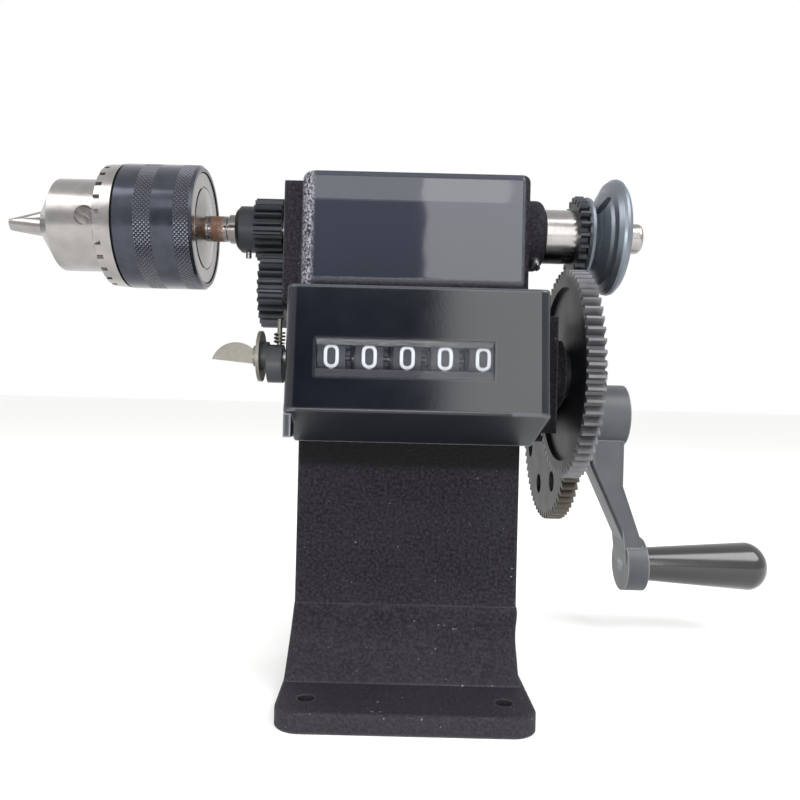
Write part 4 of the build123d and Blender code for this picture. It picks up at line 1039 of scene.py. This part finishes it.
# %% One digit on the first wheel
WHEEL_Y = -46.9 * MM
WHEEL_Z = 110.6 * MM
WHEEL_PITCH = 11.18 * MM
FIRST_WHEEL_X = -24.4 * MM
DIGIT_WIDTH = 4.4 * MM
DIGIT_HEIGHT = 6.95 * MM
STROKE = 0.95 * MM
DIGIT_CUTS = 12
PAINT_THICKNESS = 0.1 * MM
PAINT_GAP = 0.01 * MM
IN_FRONT = 14 * MM
ONE_SHARE = 0.5
TEXT_BOLDER = 0.018
WELD_DISTANCE = 0.01 * MM
ZERO_CORNER = 0.48
DIGIT_TURN = math.radians(-36.0)


def edit_all():
    """Opens the active mesh in edit mode with everything selected."""
    bpy.ops.object.mode_set(mode="EDIT")
    bpy.ops.mesh.select_all(action="SELECT")


def flat_zero():
    """A zero with straight sides and round ends, as counters have: a bevelled plane, inset."""
    bpy.ops.mesh.primitive_plane_add(size=1.0, rotation=(math.pi / 2, 0, 0))
    zero = bpy.context.object
    zero.scale = (DIGIT_WIDTH, DIGIT_HEIGHT, 1.0)
    bpy.ops.object.transform_apply(location=False, rotation=True, scale=True)
    edit_all()
    bpy.ops.mesh.bevel(offset=DIGIT_WIDTH * ZERO_CORNER, segments=8, affect="VERTICES")
    bpy.ops.mesh.select_all(action="SELECT")
    bpy.ops.mesh.inset(thickness=STROKE)
    bpy.ops.mesh.delete(type="FACE")
    bpy.ops.object.mode_set(mode="OBJECT")
    return zero


def flat_digit(number):
    """A digit of flat text, turned upright and made a mesh."""
    bpy.ops.object.text_add(rotation=(math.pi / 2, 0, 0))
    digit = bpy.context.object
    digit.data.body = str(number)
    digit.data.offset = TEXT_BOLDER
    digit.data.resolution_u = 4
    bpy.ops.object.convert(target="MESH")
    bpy.ops.object.transform_apply(location=False, rotation=True, scale=False)
    return digit


def wrapped_digit(number):
    """A digit pressed on to the front of the first wheel and turned to its place on the rim."""
    bpy.ops.object.select_all(action="DESELECT")
    digit = flat_digit(number) if number else flat_zero()
    corners = [Vector(c) for c in digit.bound_box]
    low = Vector([min(c[axis] for c in corners) for axis in range(3)])
    size = Vector([max(c[axis] for c in corners) for axis in range(3)]) - low
    width = DIGIT_WIDTH * (ONE_SHARE if number == 1 else 1.0)
    stretch = Matrix.Diagonal((width / size.x, 1.0, DIGIT_HEIGHT / size.z, 1.0))
    centre = Matrix.Translation((FIRST_WHEEL_X, WHEEL_Y - IN_FRONT, WHEEL_Z))
    digit.data.transform(centre @ stretch @ Matrix.Translation(-(low + size / 2)))
    edit_all()
    bpy.ops.mesh.remove_doubles(threshold=WELD_DISTANCE)
    for cut in range(1, DIGIT_CUTS):
        height = WHEEL_Z + DIGIT_HEIGHT * (cut / DIGIT_CUTS - 0.5)
        bpy.ops.mesh.select_all(action="SELECT")
        bpy.ops.mesh.bisect(plane_co=(0, 0, height), plane_no=(0, 0, 1))
    bpy.ops.object.mode_set(mode="OBJECT")
    wrap = digit.modifiers.new("press on to the wheel", "SHRINKWRAP")
    wrap.target = nodes["number_wheel_1"]
    wrap.wrap_method = "PROJECT"
    wrap.use_project_x = wrap.use_project_z = False
    wrap.use_project_y = True
    wrap.offset = PAINT_GAP
    bpy.ops.object.modifier_apply(modifier=wrap.name)
    coat = digit.modifiers.new("paint", "SOLIDIFY")
    coat.thickness = PAINT_THICKNESS
    coat.offset = 1.0
    bpy.ops.object.modifier_apply(modifier=coat.name)
    turn = Matrix.Rotation(DIGIT_TURN * number, 4, "X")
    axis_place = Matrix.Translation((0, WHEEL_Y, WHEEL_Z))
    digit.data.transform(axis_place @ turn @ axis_place.inverted())
    return digit


# %% All the numerals
digits = [wrapped_digit(number) for number in range(10)]
bpy.ops.object.select_all(action="DESELECT")
for digit in digits:
    digit.select_set(True)
bpy.context.view_layer.objects.active = digits[0]
bpy.ops.object.join()
numerals = bpy.context.object
numerals.name = "numerals_1"
numerals.data.materials.append(numeral_paint)
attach(numerals, "wheel_1")
for number in range(2, 6):
    copy = numerals.copy()
    copy.data = numerals.data.copy()
    copy.parent = None
    copy.name = f"numerals_{number}"
    copy.data.transform(Matrix.Translation(((number - 1) * WHEEL_PITCH, 0, 0)))
    bpy.context.collection.objects.link(copy)
    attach(copy, f"wheel_{number}")
print("numerals:", len(numerals.data.polygons), "faces on each wheel")

# %% [markdown]
# ## Lips of the counter's window
# Above and below the row of digits, the case turns inwards in two sloping lips that
# hide the neighbouring digits. They start as a plane the size of the opening. An
# inset makes a frame round its middle, the middle moves back and is deleted, and
# the sloping frame that is left gets a thickness.

# %% Window lips
WINDOW_LEFT, WINDOW_RIGHT = -29.15 * MM, 23.45 * MM
WINDOW_LOW, WINDOW_TOP = 104.5 * MM, 115.7 * MM
FACE_LEAN = math.atan2(4.0, 37.4)
LIP_START_Y = -59.05 * MM
LIP_DEPTH = 0.45 * MM
LIP_REACH = 2.1 * MM
LIP_RISE = 0.2 * MM
LIP_THICKNESS = 0.2 * MM
SIDE_MARGIN = 0.5 * MM
window_width = WINDOW_RIGHT - WINDOW_LEFT
window_height = WINDOW_TOP - WINDOW_LOW
window_middle = Vector(
    (WINDOW_LEFT + window_width / 2, LIP_START_Y, WINDOW_LOW + window_height / 2)
)
bpy.ops.object.select_all(action="DESELECT")
bpy.ops.mesh.primitive_plane_add(
    size=1.0, location=window_middle, rotation=(math.pi / 2 - FACE_LEAN, 0, 0)
)
lips = bpy.context.object
lips.name = "window_lips"
lips.scale = (window_width, window_height / math.cos(FACE_LEAN), 1.0)
bpy.ops.object.transform_apply(location=True, rotation=True, scale=True)
edit_all()
bpy.ops.mesh.inset(thickness=LIP_REACH)
bpy.ops.transform.translate(value=(0, LIP_DEPTH, LIP_RISE))
inner_share = (window_width - SIDE_MARGIN) / (window_width - 2 * LIP_REACH)
bpy.ops.transform.resize(value=(inner_share, 1, 1), center_override=window_middle)
bpy.ops.mesh.delete(type="FACE")
bpy.ops.object.mode_set(mode="OBJECT")
wall = lips.modifiers.new("sheet", "SOLIDIFY")
wall.thickness = LIP_THICKNESS
wall.offset = 0.0
bpy.ops.object.modifier_apply(modifier=wall.name)
lips.data.materials.append(enamel)
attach(lips, "frame")
print("window lips:", len(lips.data.polygons), "faces")
